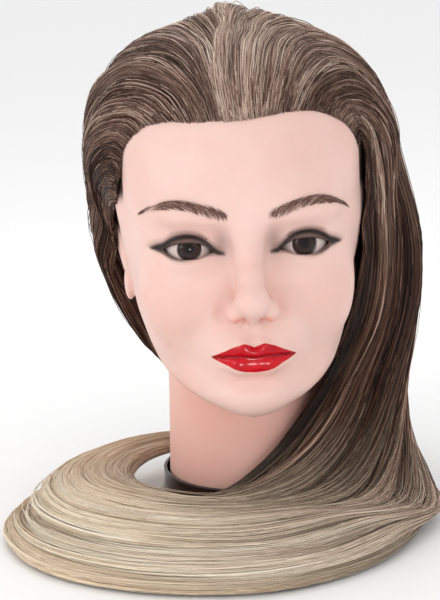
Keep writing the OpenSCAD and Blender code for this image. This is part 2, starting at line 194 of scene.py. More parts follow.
def add_lips(m, d):
    upper = chain(m, [(0, -88.4, 116.2), (5.2, -88.9, 117.0), (13, -86.4, 114.8), (23.9, -79.2, 111.6)],
                  [5.6, 5.8, 4.8, 1.0], 2)
    upper = smin(upper, ellipsoid(m, (0, -91.8, 114.6), (5.6, 4.0, 3.4)), 2.5)
    lower = chain(m, [(0, -87.4, 107.6), (8, -87.2, 107.6), (16, -83.8, 108.4), (23.4, -79.0, 110.9)],
                  [7.0, 6.8, 4.9, 0.9], 2)
    d = smin(d, upper, 1.4)
    d = smin(d, lower, 1.6)
    d = smax(d, -ellipsoid(m, (0, -97.0, 119.6), (2.8, 4.5, 2.0)), 2.5)
    parting = chain(m, [(0, -95.6, 111.8), (5, -95.6, 112.4), (14, -91.4, 112.0), (24.6, -80.6, 111.1)],
                    [1.3, 1.2, 1.0, 0.5], 0.6, (1, 1, 0.5))
    return smax(d, -parting, 1.5)


def head_field(p):
    """The head and neck without lids and ears."""
    m = (np.abs(face_x(p)), p[1], p[2])
    d = smin(stack(p), neck_field(p), 9)
    return add_lips(m, add_nose(m, add_brow_cheeks_chin(m, d)))


def lid_field(p, d):
    """Adds the lids, with the opening between them, around a hollow for the eyeball."""
    x, y, z = p
    ex, ey, ez = np.abs(x - LEAN) - EYE[0], y - EYE[1], z - EYE[2]
    ball = length(ex, ey, ez)
    shell = ball - (EYE_R + 1.9)
    keep = length(ex / 1.12, ez + 0.5) - 15.5
    lids = smax(shell, keep, 3)
    lids = np.maximum(lids, ey + 2)
    d = smin(d, lids, 3.2)
    # crease above the upper lid and a soft one under the lower lid
    upper = np.interp(ex, [-17, -12, -5, 2, 9, 14, 17.5], [1.2, 4.2, 7.6, 8.6, 7.6, 4.8, 1.8])
    fade = 2.5 * np.clip((np.abs(ex) - 6) / 10, 0, 1) ** 2
    crease = length(ez - upper - 0.6, ball - (EYE_R + 3.0)) - 0.8 + fade
    d = smax(d, -crease, 1.8)
    # the opening
    top, low = lid_edges(ex)
    mid = (top + low) / 2
    half = (top - low) / 2
    gap = (np.abs(ez - mid) - half) * 0.85
    gap = np.maximum(gap, np.abs(ex + 0.4) - 14.2)
    gap = np.maximum(gap, ey + 4)
    d = smax(d, -gap, 0.7)
    d = np.maximum(d, -(ball - (EYE_R + 0.15)))
    return d


def lid_edges(ex):
    """Height of the upper and lower lid edges across the eye. ex grows towards the temple."""
    top = np.interp(ex, *LID_TOP)
    low = np.interp(ex, *LID_LOW)
    return top, low


def ear_field(p, d):
    x, y, z = p
    ax = np.abs(x)
    # a flat shape lying back against the head
    c, s = math.cos(math.radians(-13)), math.sin(math.radians(-13))
    yy = (y - 12) * c + (z - 154) * s
    zz = -(y - 12) * s + (z - 154) * c
    lean = ax - (64.6 + 0.13 * zz + 0.33 * yy)
    q = (lean, yy, zz)
    outer = ellipsoid(q, (0, np.interp(zz, [-30, 0, 30], [-5, 0, 1]), 0), (4.6, 15.5, 30.5))
    hollow = ellipsoid(q, (5.2, -3.5, -2), (4.6, 7.2, 11))
    scoop = ellipsoid(q, (5.4, 0, 8), (3.6, 10.5, 17))
    outer = smax(outer, -scoop, 1.6)
    outer = smax(outer, -hollow, 1.4)
    outer = smin(outer, capsule(q, (1.6, 3.5, -12), (1.6, 5.5, 14), 2.4, 2.2), 1.8)
    outer = smin(outer, ellipsoid(q, (1.2, -11, -4), (3.2, 3.6, 5.5)), 1.8)
    outer = smin(outer, ellipsoid((ax, y, z), (65.2, 1.5, 135.0), (3.4, 6.4, 11.0)), 3.0)
    d = smin(d, outer, 1.6)
    # the fold where the ear meets the cheek
    fold_line = [(71.8, -5.5, 176), (69.6, -8.5, 160), (67.6, -8.5, 144), (65.6, -5.5, 130), (65.0, 0, 123)]
    fold = chain((ax, y, z), fold_line, [0.6, 1.3, 1.5, 1.5, 0.8], 0.5)
    return smax(d, -fold, 1.6)


def face(p):
    d = head_field(p)
    d = lid_field(p, d)
    d = ear_field(p, d)
    r = length(p[0], p[1])
    for bore, top in ((PLUG_BORE, 21.5), (HUB_BORE, 68.0)):
        d = np.maximum(d, -np.maximum(r - bore, p[2] - top))
    return np.maximum(d, 9 - p[2])


# ---------------------------------------------------------------- meshing

def spacing(knots):
    """Grid lines from (start, end, step) spans."""
    out = [knots[0][0]]
    for a, b, step in knots:
        n = max(1, int(round((b - a) / step)))
        out += list(np.linspace(a, b, n + 1)[1:])
    return np.array(out, np.float32)


def near_values(field, gx, gy, gz, coarse=4):
    """Field values on a grid, computed only near the surface."""
    shape = (len(gx), len(gy), len(gz))
    out = np.empty(shape, np.float32)
    ci = np.arange(0, shape[0], coarse)
    cj = np.arange(0, shape[1], coarse)
    ck = np.arange(0, shape[2], coarse)
    mid = lambda g, c: np.array([g[a:a + coarse + 1].mean() for a in c])
    half = lambda g, c: np.array([(g[min(a + coarse, len(g) - 1)] - g[a]) / 2 for a in c])
    mx, my, mz = mid(gx, ci), mid(gy, cj), mid(gz, ck)
    hx, hy, hz = half(gx, ci), half(gy, cj), half(gz, ck)
    P = np.meshgrid(mx, my, mz, indexing="ij")
    value = field(P)
    reach = length(*np.meshgrid(hx, hy, hz, indexing="ij")) * 1.5 + 3.0
    close = np.abs(value) < reach
    sign = np.where(value > 0, 50.0, -50.0).astype(np.float32)
    full = sign.repeat(coarse, 0).repeat(coarse, 1).repeat(coarse, 2)[:shape[0], :shape[1], :shape[2]]
    out[:] = full
    mask = close.repeat(coarse, 0).repeat(coarse, 1).repeat(coarse, 2)[:shape[0], :shape[1], :shape[2]].copy()
    grown = mask.copy()
    grown[:-1] |= mask[1:]
    grown[1:] |= mask[:-1]
    grown[:, :-1] |= mask[:, 1:]
    grown[:, 1:] |= mask[:, :-1]
    grown[:, :, :-1] |= mask[:, :, 1:]
    grown[:, :, 1:] |= mask[:, :, :-1]
    idx = np.nonzero(grown)
    for s in range(0, len(idx[0]), 400000):
        sl = tuple(a[s:s + 400000] for a in idx)
        out[sl] = field((gx[sl[0]], gy[sl[1]], gz[sl[2]]))
    return out


def surface_nets(values, gx, gy, gz):
    """Quads of the zero surface on a rectilinear grid."""
    inside = values < 0
    nx, ny, nz = values.shape
    corner = sum(inside[i:nx - 1 + i, j:ny - 1 + j, k:nz - 1 + k].astype(np.int8)
                 for i in (0, 1) for j in (0, 1) for k in (0, 1))
    cell = (corner > 0) & (corner < 8)
    ids = -np.ones(cell.shape, np.int64)
    ci, cj, ck = np.nonzero(cell)
    ids[ci, cj, ck] = np.arange(len(ci))
    total = np.zeros((len(ci), 3))
    count = np.zeros(len(ci))
    grids = (gx, gy, gz)
    for axis in range(3):
        others = [a for a in range(3) if a != axis]
        for da in (0, 1):
            for db in (0, 1):
                o = [0, 0, 0]
                o[others[0]] = da
                o[others[1]] = db
                i0 = [ci + o[0], cj + o[1], ck + o[2]]
                i1 = [a.copy() for a in i0]
                i1[axis] = i1[axis] + 1
                v0 = values[tuple(i0)].astype(float)
                v1 = values[tuple(i1)].astype(float)
                cut = (v0 < 0) != (v1 < 0)
                t = np.where(cut, v0 / np.where(cut, v0 - v1, 1), 0)
                pos = [grids[a][i0[a]].astype(float) for a in range(3)]
                pos[axis] = pos[axis] + t * (grids[axis][i1[axis]] - grids[axis][i0[axis]])
                total += np.stack(pos, 1) * cut[:, None]
                count += cut
    verts = total / count[:, None]
    quads = []
    for axis in range(3):
        others = [a for a in range(3) if a != axis]
        sl0 = [slice(1, -1)] * 3
        sl1 = [slice(1, -1)] * 3
        sl0[axis] = slice(0, -1)
        sl1[axis] = slice(1, None)
        a, b = inside[tuple(sl0)], inside[tuple(sl1)]
        e = np.nonzero(a != b)
        base = [e[k] + (0 if k == axis else 1) for k in range(3)]
        ring = []
        for da, db in ((0, 0), (1, 0), (1, 1), (0, 1)):
            q = [c.copy() for c in base]
            q[others[0]] = q[others[0]] - da
            q[others[1]] = q[others[1]] - db
            ring.append(ids[tuple(q)])
        quad = np.stack(ring, 1)
        flip = a[e] != (axis == 1)
        quad[flip] = quad[flip][:, ::-1]
        quads.append(quad)
    return verts, np.concatenate(quads)


def gradient(field, v, h=0.15):
    out = np.empty_like(v)
    for a in range(3):
        lo = v.copy()
        hi = v.copy()
        lo[:, a] -= h
        hi[:, a] += h
        out[:, a] = (field(hi.T) - field(lo.T)) / (2 * h)
    return out


def project(field, v, steps=3, limit=1.2):
    for _ in range(steps):
        g = gradient(field, v)
        f = field(v.T)
        move = -f[:, None] * g / np.maximum((g * g).sum(1), 0.2)[:, None]
        size = np.linalg.norm(move, axis=1)
        v = v + move * np.minimum(1, limit / np.maximum(size, 1e-9))[:, None]
    return v


def build_head():
    """The head's surface, on a grid that is fine at the face and ears and coarse under the hair."""
    gx_half = spacing([(0, 50, 1.0), (50, 64, 1.5), (64, 80, 1.25), (80, 86, 3)])
    gx = np.concatenate([-gx_half[:0:-1], gx_half])
    gy = spacing([(-118, -66, 1.0), (-66, -50, 1.6), (-50, -40, 1.1), (-40, 36, 1.8), (36, 50, 1.1),
                  (50, 104, 4)])
    gz = spacing([(4, 70, 2.6), (70, 100, 1.4), (100, 186, 1.0), (186, 210, 1.4), (210, 292, 3.0)])
    verts, quads = surface_nets(near_values(face, gx, gy, gz), gx, gy, gz)
    return project(face, verts), quads


# ---------------------------------------------------------------- hair

# Each family of hair is a sheet that follows listed guides from the hairline to the coil. A guide is
# a list of points on the way of one lock, and the number after each point on the scalp is how far the hair
# stands off there. Guides are in order across the sheet.
RIGHT_GUIDES = [
    [(62, -50, 218, .4), (65, -47, 222, 1.5), (69, -44, 211, 2.5), (70, -41, 192, 3), (71, -40, 168, 3),
     (66, -38, 139), (59, -39, 112)],
    [(58, -58, 231, .4), (64, -52, 237, 4), (70, -46, 228, 6), (74, -41, 206, 6.2), (78, -38, 178, 10.8),
     (79, -36, 145), (74, -35, 113)],
    [(51, -68, 240, .4), (59, -60, 248, 6), (71, -48, 242, 12), (80, -36, 219, 16), (88, -30, 188, 17),
     (90, -27, 150), (86, -27, 113)],
    [(42, -76, 246, .4), (50, -66, 257, 7), (65, -48, 255, 13), (79, -30, 232, 14), (92, -18, 198, 18.5),
     (103, -14, 155), (101, -15, 113)],
    [(29, -85, 248.6, .4), (36, -72, 263, 8), (53, -45, 270, 16), (74, -18, 251, 15.5),
     (92, 0, 210, 19.5), (106, 3, 162), (105, -1, 115)],
    [(14, -88, 245, .4), (18, -76, 263, 8), (30, -42, 283, 17), (56, -4, 273, 20), (85, 22, 225, 18),
     (103, 22, 170), (104, 16, 116)],
    [(-1, -88, 241, .4), (-2, -74, 262, 8), (5, -38, 286, 16), (30, 14, 290, 20), (68, 54, 244, 17),
     (96, 46, 178), (101, 31, 117)],
    [(-12, -88, 241, .4), (-15, -72, 262, 8), (-13, -34, 286, 15.5), (0, 30, 288, 16.5),
     (40, 82, 245, 13), (76, 78, 180), (93, 52, 118)],
]
# The way down to the table: angle clockwise from +X, distance from the neck's axis, height, per guide.
RIGHT_DOWN = [
    [(38, 61, 86), (54, 56, 66), (78, 54.5, 44), (100, 56, 27)],
    [(30, 68, 82), (45, 63, 61), (66, 63, 44), (88, 68, 32)],
    [(22, 78, 80), (36, 74, 58), (56, 76, 42), (77, 84, 33)],
    [(14, 92, 78), (28, 87, 54), (46, 89, 38), (67, 100, 31)],
    [(5, 98, 76), (19, 95, 48), (37, 100, 33), (57, 114, 27)],
    [(-4, 97, 74), (10, 98, 42), (28, 108, 26), (47, 125, 21)],
    [(-13, 96, 72), (1, 100, 34), (20, 111, 19), (38, 128, 14)],
    [(-22, 95, 70), (-8, 99, 28), (12, 109, 12), (30, 125, 8)],
]
# The way round the coil: the angle of the inmost and of the outmost lock at each station.
RIGHT_TURNS = [(121, 50), (147, 72), (170, 94), (192, 116), (214, 138), (236, 158), (258, 178), (280, 198),
               (300, 218)]

LEFT_GUIDES = [
    [(-4, -88, 241, .4), (-6, -72, 262, 8), (-4, -34, 286, 13.5), (-8, 26, 287, 14), (-36, 66, 252, 14),
     (-56, 86, 196), (-54, 92, 142), (-36, 92, 104), (2, 90, 78), (42, 80, 54)],
    [(-14, -87, 241, .4), (-19, -72, 262, 8), (-28, -40, 283, 16), (-46, 12, 278, 19.5),
     (-66, 50, 240, 15), (-72, 74, 184), (-64, 84, 134), (-40, 88, 101), (0, 88, 76), (43, 79, 52)],
    [(-21, -86, 241.5, .4), (-29, -72, 261, 8), (-50, -42, 275, 19), (-74, -4, 257, 19.5),
     (-87, 30, 218, 13.5), (-84, 54, 172), (-71, 72, 126), (-44, 84, 97), (0, 89, 75), (44, 84, 55)],
    [(-31, -84, 242, .4), (-41, -70, 259, 8), (-66, -40, 264, 16), (-84, -6, 240, 12.5),
     (-90, 26, 202, 14), (-84, 50, 160), (-70, 66, 118), (-42, 78, 90), (0, 84, 69), (46, 80, 49)],
    [(-44, -75, 242, .4), (-56, -60, 252, 7), (-76, -36, 249, 14), (-88, -6, 223, 13), (-90, 24, 187, 15),
     (-83, 46, 148), (-69, 61, 109), (-42, 72, 83), (0, 80, 62), (50, 78, 42)],
    [(-57, -61, 236, .4), (-67, -50, 242, 6), (-81, -29, 232, 14), (-89, -4, 208, 15), (-89, 22, 175, 14),
     (-82, 42, 138), (-67, 56, 102), (-42, 68, 77), (0, 77, 56), (54, 76, 35)],
    [(-65, -48, 222, .4), (-73, -39, 226, 5), (-83, -22, 214, 12), (-88, -2, 194, 13), (-87, 19, 165, 12),
     (-80, 37, 130), (-65, 51, 96), (-42, 63, 71), (2, 74, 50), (60, 74, 28)],
    [(-68, -40, 203, .4), (-75, -32, 206, 4), (-81, -17, 199, 8), (-84, 0, 186, 9), (-83, 18, 160, 9),
     (-76, 33, 124), (-62, 46, 91), (-41, 58, 66), (4, 71, 44), (66, 72, 22)],
    [(-71, -25, 187, .4), (-74, -14, 185, 2.2), (-78, 0, 177, 4), (-81, 13, 165, 7), (-80, 26, 146, 8.5),
     (-68, 38, 117), (-55, 48, 88), (-40, 55, 62), (7, 69, 39), (68, 71, 19)],
]
LEFT_TURNS = [(-34, -30), (-14, -8), (10, 16), (34, 40), (58, 64), (82, 88), (106, 112), (130, 136),
              (154, 160), (176, 184), (198, 208)]

BACK_GUIDES = [
    [(32, -22, 280, .4), (62, 26, 262, 15), (79, 56, 218, 15), (86, 60, 192, 22), (88, 62, 164),
     (93, 50, 116), (94, 38, 76), (96, 22, 44)],
    [(22, -22, 283, .4), (44, 38, 270, 16), (62, 76, 222, 13), (70, 84, 193, 19), (74, 87, 164),
     (80, 77, 116), (90, 62, 76), (99, 40, 42)],
    [(14, -22, 285, .4), (26, 44, 276, 15), (38, 88, 224, 11), (45, 97, 194, 10.7), (50, 101, 164),
     (66, 91, 114), (82, 76, 72), (96, 48, 38)],
    [(-3, -22, 286, .4), (-6, 48, 277, 15), (-8, 96, 224, 10), (-1, 107, 194, 7.2), (6, 106, 164),
     (30, 103, 114), (58, 90, 70), (85, 62, 34)],
    [(-20, -22, 284, .4), (-40, 42, 271, 16), (-54, 80, 222, 12), (-53, 90, 194, 11.2), (-48, 94, 166),
     (-24, 98, 118), (16, 95, 78), (64, 78, 38)],
    [(-34, -22, 279, .4), (-64, 26, 258, 17), (-80, 56, 214, 14), (-81, 65, 190, 19.5), (-77, 69, 164),
     (-58, 83, 118), (-22, 93, 82), (40, 90, 44)],
]
BACK_TURNS = [(-12, -34), (10, -12), (34, 12), (58, 36), (82, 60), (106, 84), (130, 108)]

# Plan of the coil: angle clockwise from +X, inner radius, outer radius, height.
COIL = np.array([
    [-62, 60, 92, 22], [-30, 60, 100, 26], [0, 58, 103, 29], [20, 58, 111, 30], [45, 60, 129, 31],
    [60, 60, 142, 31], [75, 58, 154, 31], [90, 57, 163, 30], [115, 59, 168, 30], [140, 63, 170, 30],
    [156, 66, 162, 29], [168, 67, 148, 28], [182, 67, 130, 27], [205, 64, 104, 26], [231, 61, 84, 24],
    [260, 60, 78, 19], [300, 60, 82, 15]])


def coil_point(phi, u, level=1.0):
    inner, outer, height = (np.interp(phi, COIL[:, 0], COIL[:, k]) for k in (1, 2, 3))
    r = inner + (outer - inner) * u
    z = height * np.sin(np.pi * (0.13 + 0.83 * u)) ** 0.6 * level
    a = np.radians(-phi)
    return np.array([r * np.cos(a), r * np.sin(a), z])


def around_neck(phi, r, z):
    a = math.radians(-phi)
    return (r * math.cos(a), r * math.sin(a), z)


def spline(points, t):
    """Catmull-Rom through points (..., K, 3) at station numbers t (M,)."""
    k = points.shape[-2]
    i = np.clip(np.floor(t).astype(int), 0, k - 2)
    f = (t - i)[:, None]
    g = lambda j: points[..., np.clip(j, 0, k - 1), :]
    p0, p1, p2, p3 = g(i - 1), g(i), g(i + 1), g(i + 2)
    return 0.5 * (2 * p1 + (p2 - p0) * f + (2 * p0 - 5 * p1 + 4 * p2 - p3) * f ** 2
                  + (3 * p1 - p0 - 3 * p2 + p3) * f ** 3)


def arc_lengths(points):
    """Running length along each row of points, from 0 at its start."""
    step = np.linalg.norm(np.diff(points, axis=1), axis=2)
    return np.concatenate([np.zeros((len(points), 1)), np.cumsum(step, axis=1)], axis=1)


def solid_distance(p):
    """Rough distance to what the hair lies on: head, ears, neck, cup and foot."""
    x, y, z = p
    r = length(x, y)
    g = stack(p)
    neck = np.maximum(r - 46.8, z - 140)
    cup = np.maximum(r - 50.0, z - 20.0)
    foot = np.maximum(r - 55.0, z - 4.0)
    return np.minimum(np.minimum(g, neck), np.minimum(cup, foot))


def push_out(v, least, steps=2):
    """Moves points out of the head, neck and cup until they are at least that far away."""
    shape = v.shape
    v = v.reshape(-1, 3).copy()
    least = np.broadcast_to(least, shape[:-1]).reshape(-1)
    for _ in range(steps):
        d = solid_distance(v.T)
        hit = np.nonzero(d < least)[0]
        if not len(hit):
            break
        g = gradient(solid_distance, v[hit], 0.5)
        n2 = np.maximum((g * g).sum(1), 0.05)
        v[hit] += g * ((least[hit] - d[hit]) / n2)[:, None]
    v[:, 2] = np.maximum(v[:, 2], 0.7)
    return v.reshape(shape)


def set_lift(v, lift, steps=4):
    """Moves points to stand exactly lift off the head."""
    for _ in range(steps):
        g = gradient(stack, v, 0.5)
        d = stack(v.T)
        v = v + g * ((lift - d) / np.maximum((g * g).sum(1), 0.05))[:, None]
    return v


# Shares of a strand's length at which its points lie: close together near the scalp.
MARKS = np.concatenate([np.linspace(0, 200, 26), np.linspace(200, 900, 37)[1:]]) / 900


class Sheet:
    """The outer surface of one family of hair, as dense guides."""

    def __init__(self, guides, down, turns, level, depth):
        count = len(guides)
        scalp = max(sum(len(q) == 4 for q in g) for g in guides)
        lifts = np.array([[q[3] for q in g[:scalp]] for g in guides], float)
        dense = np.linspace(0, scalp - 1, (scalp - 1) * 4 + 1)
        rows = []
        for n, g in enumerate(guides):
            pts = [np.array(q[:3], float) for q in g]
            if down:
                pts += [np.array(around_neck(*q)) for q in down[n]]
            u = n / (count - 1)
            pts += [coil_point(a + (b - a) * u, 0.02 + 0.96 * u, level) for a, b in turns]
            pts = np.array(pts)
            top = spline(pts, dense)
            lift = spline(np.stack([lifts[n]] * 3, 1), dense)[:, 0]
            top = set_lift(top, lift)
            rest = np.arange(scalp - 1, len(pts) - 1 + 0.001, 0.5)[1:]
            rows.append(np.concatenate([top, spline(pts, rest)]))
        self.rows = np.array(rows)
        self.scalp = len(dense)
        self.depth = depth
        self.count = count
        self.stations = self.rows.shape[1]
        # length of hair from the scalp to the front of the coil, across the sheet
        self.places = np.linspace(0, 1, 41)
        fine = np.linspace(0, self.stations - 1, 400)
        mid = spline(self.controls(self.places), fine)
        front = (mid[..., 2] < 60) & (mid[..., 1] < 0) & (mid[..., 0] < 0)
        first = np.where(front.any(1), front.argmax(1), len(fine) - 1)
        self.front_arc = arc_lengths(mid)[np.arange(len(self.places)), first]

    def controls(self, u):
        """Control points of strands at positions u across the sheet."""
        return spline(self.rows.transpose(1, 0, 2), u * (self.count - 1)).transpose(1, 0, 2)

    def way(self, u, arc):
        """How far a point is along the change of colour: 0 at the roots, 1 at the far ends."""
        at_front = np.interp(u, [0, 0.25, 1], [0.38, 0.5, 0.6])
        q = at_front * arc / np.interp(u, self.places, self.front_arc)
        return np.where(q < 0.8, q, 0.8 + 0.19 * (1 - np.exp(-np.maximum(q - 0.8, 0) / 0.5)))

    def surface(self, u, t):
        """Points and outward normals at (strand, station)."""
        eps = 0.01
        mid = spline(self.controls(u), t)
        a = spline(self.controls(np.clip(u - eps, 0, 1)), t)
        b = spline(self.controls(np.clip(u + eps, 0, 1)), t)
        along = np.gradient(mid, axis=1)
        n = np.cross(along, b - a)
        n /= np.maximum(np.linalg.norm(n, axis=2, keepdims=True), 1e-9)
        return mid, n


def ramp(x, a, b):
    q = np.clip((x - a) / (b - a), 0, 1)
    return q * q * (3 - 2 * q)


def locks(u, t, grooves):
    """Depth of the grooves between locks, 0 on a lock to 1 in a groove."""
    out = np.zeros(np.broadcast(u, t).shape)
    for centre, width, start, end, drift in grooves:
        across = np.exp(-((u - centre - drift * t) / width) ** 2)
        out = np.maximum(out, across * ramp(t, start, start + 3) * (1 - ramp(t, end - 4, end)))
    return out


def along_sheet(sheet, uu, t):
    """Points and outward normals for strands at places uu (strand, station) across the sheet."""
    cells = 80
    grid, normal = sheet.surface(np.linspace(0, 1, cells + 1), t)
    f = uu * cells
    i = np.clip(f.astype(int), 0, cells - 1)
    w = (f - i)[..., None]
    k = np.arange(len(t))[None]
    return grid[i, k] * (1 - w) + grid[i + 1, k] * w, normal[i, k] * (1 - w) + normal[i + 1, k] * w


def even_out(p, arc, first, last):
    """Strands cut to run from one arc length to another, at the shares in MARKS, with those lengths."""
    s = first[:, None] + (last - first)[:, None] * MARKS[None]
    q = np.empty((len(p), len(MARKS), 3))
    for j in range(len(p)):
        for a in range(3):
            q[j, :, a] = np.interp(s[j], arc[j], p[j, :, a])
    return q, s


def draw_tips_together(q, which, clumps):
    centre = np.zeros((clumps,) + q.shape[1:])
    np.add.at(centre, which, q)
    centre /= np.maximum(np.bincount(which, minlength=clumps), 1)[:, None, None]
    pull = 0.75 * ramp(MARKS, 0.78, 1.0)
    return q + (centre[which] - q) * pull[None, :, None]


def family(sheet, count, clumps, mean_length, grooves, seed, bias):
    """Strands of one family: points (N, M, 3), their way along the colours and a tone for each strand."""
    r = np.random.default_rng(seed)
    clump_u = np.sort(r.uniform(0, 1, clumps))
    clump_v = 0.5 + 0.5 * r.uniform(0, 1, clumps) ** 0.7
    clump_tone = r.normal(0.46, 0.15, clumps) + np.interp(clump_u, *zip(*bias))
    clump_tone[r.uniform(0, 1, clumps) < 0.1] += 0.25
    which = r.integers(0, clumps, count)
    u = clump_u[which]
    offset = r.normal(0, 0.012, count)
    v = np.clip(clump_v[which] + r.normal(0, 0.07, count), 0.42, 1)
    tone = np.clip(clump_tone[which] + r.normal(0, 0.15, count), 0, 1)
    t = np.linspace(0, sheet.stations - 1, 150)
    wander = r.normal(0, 0.006, (count, 1))
    wander = wander * np.sin(t[None] * r.uniform(0.1, 0.35, (count, 1)) + r.uniform(0, 6.28, (count, 1)))
    tight = 1 - 0.45 * ramp(t, 2, 14)[None]
    uu = np.clip(u[:, None] + offset[:, None] * tight + wander, 0.0, 1.0)
    p, n = along_sheet(sheet, uu, t)
    # some strands leave the scalp at the hairline and the late ones further back
    late = r.uniform(0, 1, count) < 0.3
    late_start = r.uniform(0, 1, count) ** 1.3 * (sheet.scalp - 4)
    start = np.where(late, late_start, r.uniform(0, 1.3, count))
    free = ramp(t[None], start[:, None], start[:, None] + 1.2)
    depth = sheet.depth(uu, t[None])
    sink = (1 - v)[:, None] * depth + 4.5 * locks(uu, t[None], grooves) * (0.5 + depth / 16)
    lift = stack(p.reshape(-1, 3).T).reshape(p.shape[:2])
    full = np.clip(lift, 0.2, 60) - 0.2
    sink = full * (1 - free) + np.minimum(sink, full) * free
    p = p - n * sink[..., None]
    # a few hairs stand loose, and every hair strays a little
    loose = np.where(r.uniform(0, 1, count) < 0.05, r.uniform(0.4, 1.6, count), 0)
    wave = 0.6 + 0.4 * np.sin(t[None] * r.uniform(0.15, 0.4, (count, 1)) + r.uniform(0, 6.28, (count, 1)))
    p = p + n * (loose[:, None] * wave * free)[..., None]
    p += (0.5 * loose)[:, None, None] * r.normal(0, 1, (count, 1, 3)) * np.sin(t[None, :, None] * 0.35)
    stray = r.normal(0, 0.35, (count, 1, 3))
    p += stray * np.sin(t[None, :, None] * 1.1 + r.uniform(0, 6.28, (count, 1, 1)))
    p = push_out(p, np.where(t[None] < sheet.scalp, 0.4, 0.9) * free)
    # ragged ends, alike within a lock
    arc = arc_lengths(p)
    root = np.clip(np.searchsorted(t, start), 0, len(t) - 1)
    first = arc[np.arange(count), root]
    own = r.normal(1, 0.1, clumps)[which] + r.normal(0, 0.025, count)
    last = arc[:, -1] * (0.84 + 0.13 * r.uniform(0, 1, clumps)[which] + 0.025 * r.uniform(0, 1, count))
    last = np.minimum(last, mean_length * np.clip(own, 0.7, 1.22))
    q, s = even_out(p, arc, first, last)
    return draw_tips_together(q, which, clumps), sheet.way(u[:, None], s), tone


HAIR_R = 0.23  # mean radius of a hair tube
BROW_HAIR_R = 0.17
PER_PIECE = 540  # most hair tubes in one piece


def tubes(points, ways, tone, radius):
    """Closed three-sided tubes along strands, with the hair map's coordinates."""
    n, m, _ = points.shape
    ahead = np.gradient(points, axis=1)
    ahead /= np.maximum(np.linalg.norm(ahead, axis=2, keepdims=True), 1e-9)
    # a side direction carried along each strand without twisting
    side = np.empty_like(ahead)
    carried = np.cross(ahead[:, 0], np.array([0.31, -0.87, 0.38]))
    for j in range(m):
        carried = carried - (carried * ahead[:, j]).sum(1, keepdims=True) * ahead[:, j]
        carried /= np.maximum(np.linalg.norm(carried, axis=1, keepdims=True), 1e-9)
        side[:, j] = carried
    up = np.cross(side, ahead)
    taper = np.ones(m)
    taper[-5:] = [0.9, 0.75, 0.55, 0.35, 0.12]
    taper[0] = 0.6
    rad = (radius[:, None] * taper[None])[:, :, None, None]
    ang = np.radians([90, 210, 330])[None, None, :, None]
    ring = points[:, :, None] + rad * (side[:, :, None] * np.cos(ang) + up[:, :, None] * np.sin(ang))
    start = np.arange(n) * m * 3
    base = start[:, None, None] + (np.arange(m - 1) * 3)[None, :, None]
    k = np.arange(3)[None, None]
    a = base + k
    b = base + (k + 1) % 3
    quads = np.stack([a, b, b + 3, a + 3], -1).reshape(-1, 4)
    caps = np.concatenate([start[:, None] + np.array([2, 1, 0])[None],
                           start[:, None] + (m - 1) * 3 + np.array([0, 1, 2])[None]])
    return ring.reshape(-1, 3), quads, caps, tube_uv(np.clip(ways, 0, 1), 0.012 + 0.976 * tone)


def tube_uv(v, tu):
    """Map coordinates of the tubes' quads and caps: the tone across and the way along the hair."""
    n, m = v.shape
    width = 0.004
    across = np.array([[-1, 0, 0, -1], [0, 1, 1, 0], [1, -1, -1, 1]]) * width
    uv = np.empty((n, m - 1, 3, 4, 2))
    uv[..., 0] = tu[:, None, None, None] + across[None, None]
    uv[..., 0:2, 1] = v[:, :-1, None, None]
    uv[..., 2:4, 1] = v[:, 1:, None, None]
    cap_uv = np.empty((2, n, 3, 2))
    for c, end in enumerate((0, m - 1)):
        cap_uv[c, :, :, 0] = tu[:, None] + np.array([-1, 0, 1])[None] * width
        cap_uv[c, :, :, 1] = v[:, end][:, None] + np.array([0, 0.002, 0])[None]
    return np.concatenate([uv.reshape(-1, 2), cap_uv.reshape(-1, 2)])


def fast_mesh(name, verts, quads, tris=None, uv=None):
    """A mesh from arrays, with quads first and triangles after them."""
    tris = np.empty((0, 3), int) if tris is None else tris
    mesh = bpy.data.meshes.new(name)
    mesh.vertices.add(len(verts))
    mesh.vertices.foreach_set("co", (verts * MM).astype(np.float32).ravel())
    loops = np.concatenate([quads.ravel(), tris.ravel()]).astype(np.int32)
    mesh.loops.add(len(loops))
    mesh.loops.foreach_set("vertex_index", loops)
    sizes = np.concatenate([np.full(len(quads), 4), np.full(len(tris), 3)])
    starts = np.concatenate([[0], np.cumsum(sizes)[:-1]]).astype(np.int32)
    mesh.polygons.add(len(sizes))
    mesh.polygons.foreach_set("loop_start", starts)
    mesh.polygons.foreach_set("use_smooth", np.ones(len(sizes), bool))
    mesh.update(calc_edges=True)
    if uv is not None:
        layer = mesh.uv_layers.new(name="OFBake")
        layer.data.foreach_set("uv", np.clip(uv, 0.001, 0.999).astype(np.float32).ravel())
    ob = bpy.data.objects.new(name, mesh)
    bpy.context.scene.collection.objects.link(ob)
    return ob


def depth_curve(stations, depths):
    """How far below the sheet's surface the lowest strands lie, by station."""
    return lambda u, t: np.interp(t, stations, depths) + 0 * u


RIGHT_DEPTH = depth_curve([0, 4, 8, 16, 20, 26, 34, 60], [0.3, 3, 6, 9, 11, 12, 11, 11])
LEFT_DEPTH = depth_curve([0, 4, 8, 16, 20, 26, 34, 60], [0.3, 3, 6, 9, 9, 10, 11, 11])
BACK_DEPTH = depth_curve([0, 4, 8, 14, 20, 26, 60], [0.3, 5, 7, 8, 9, 12, 16])
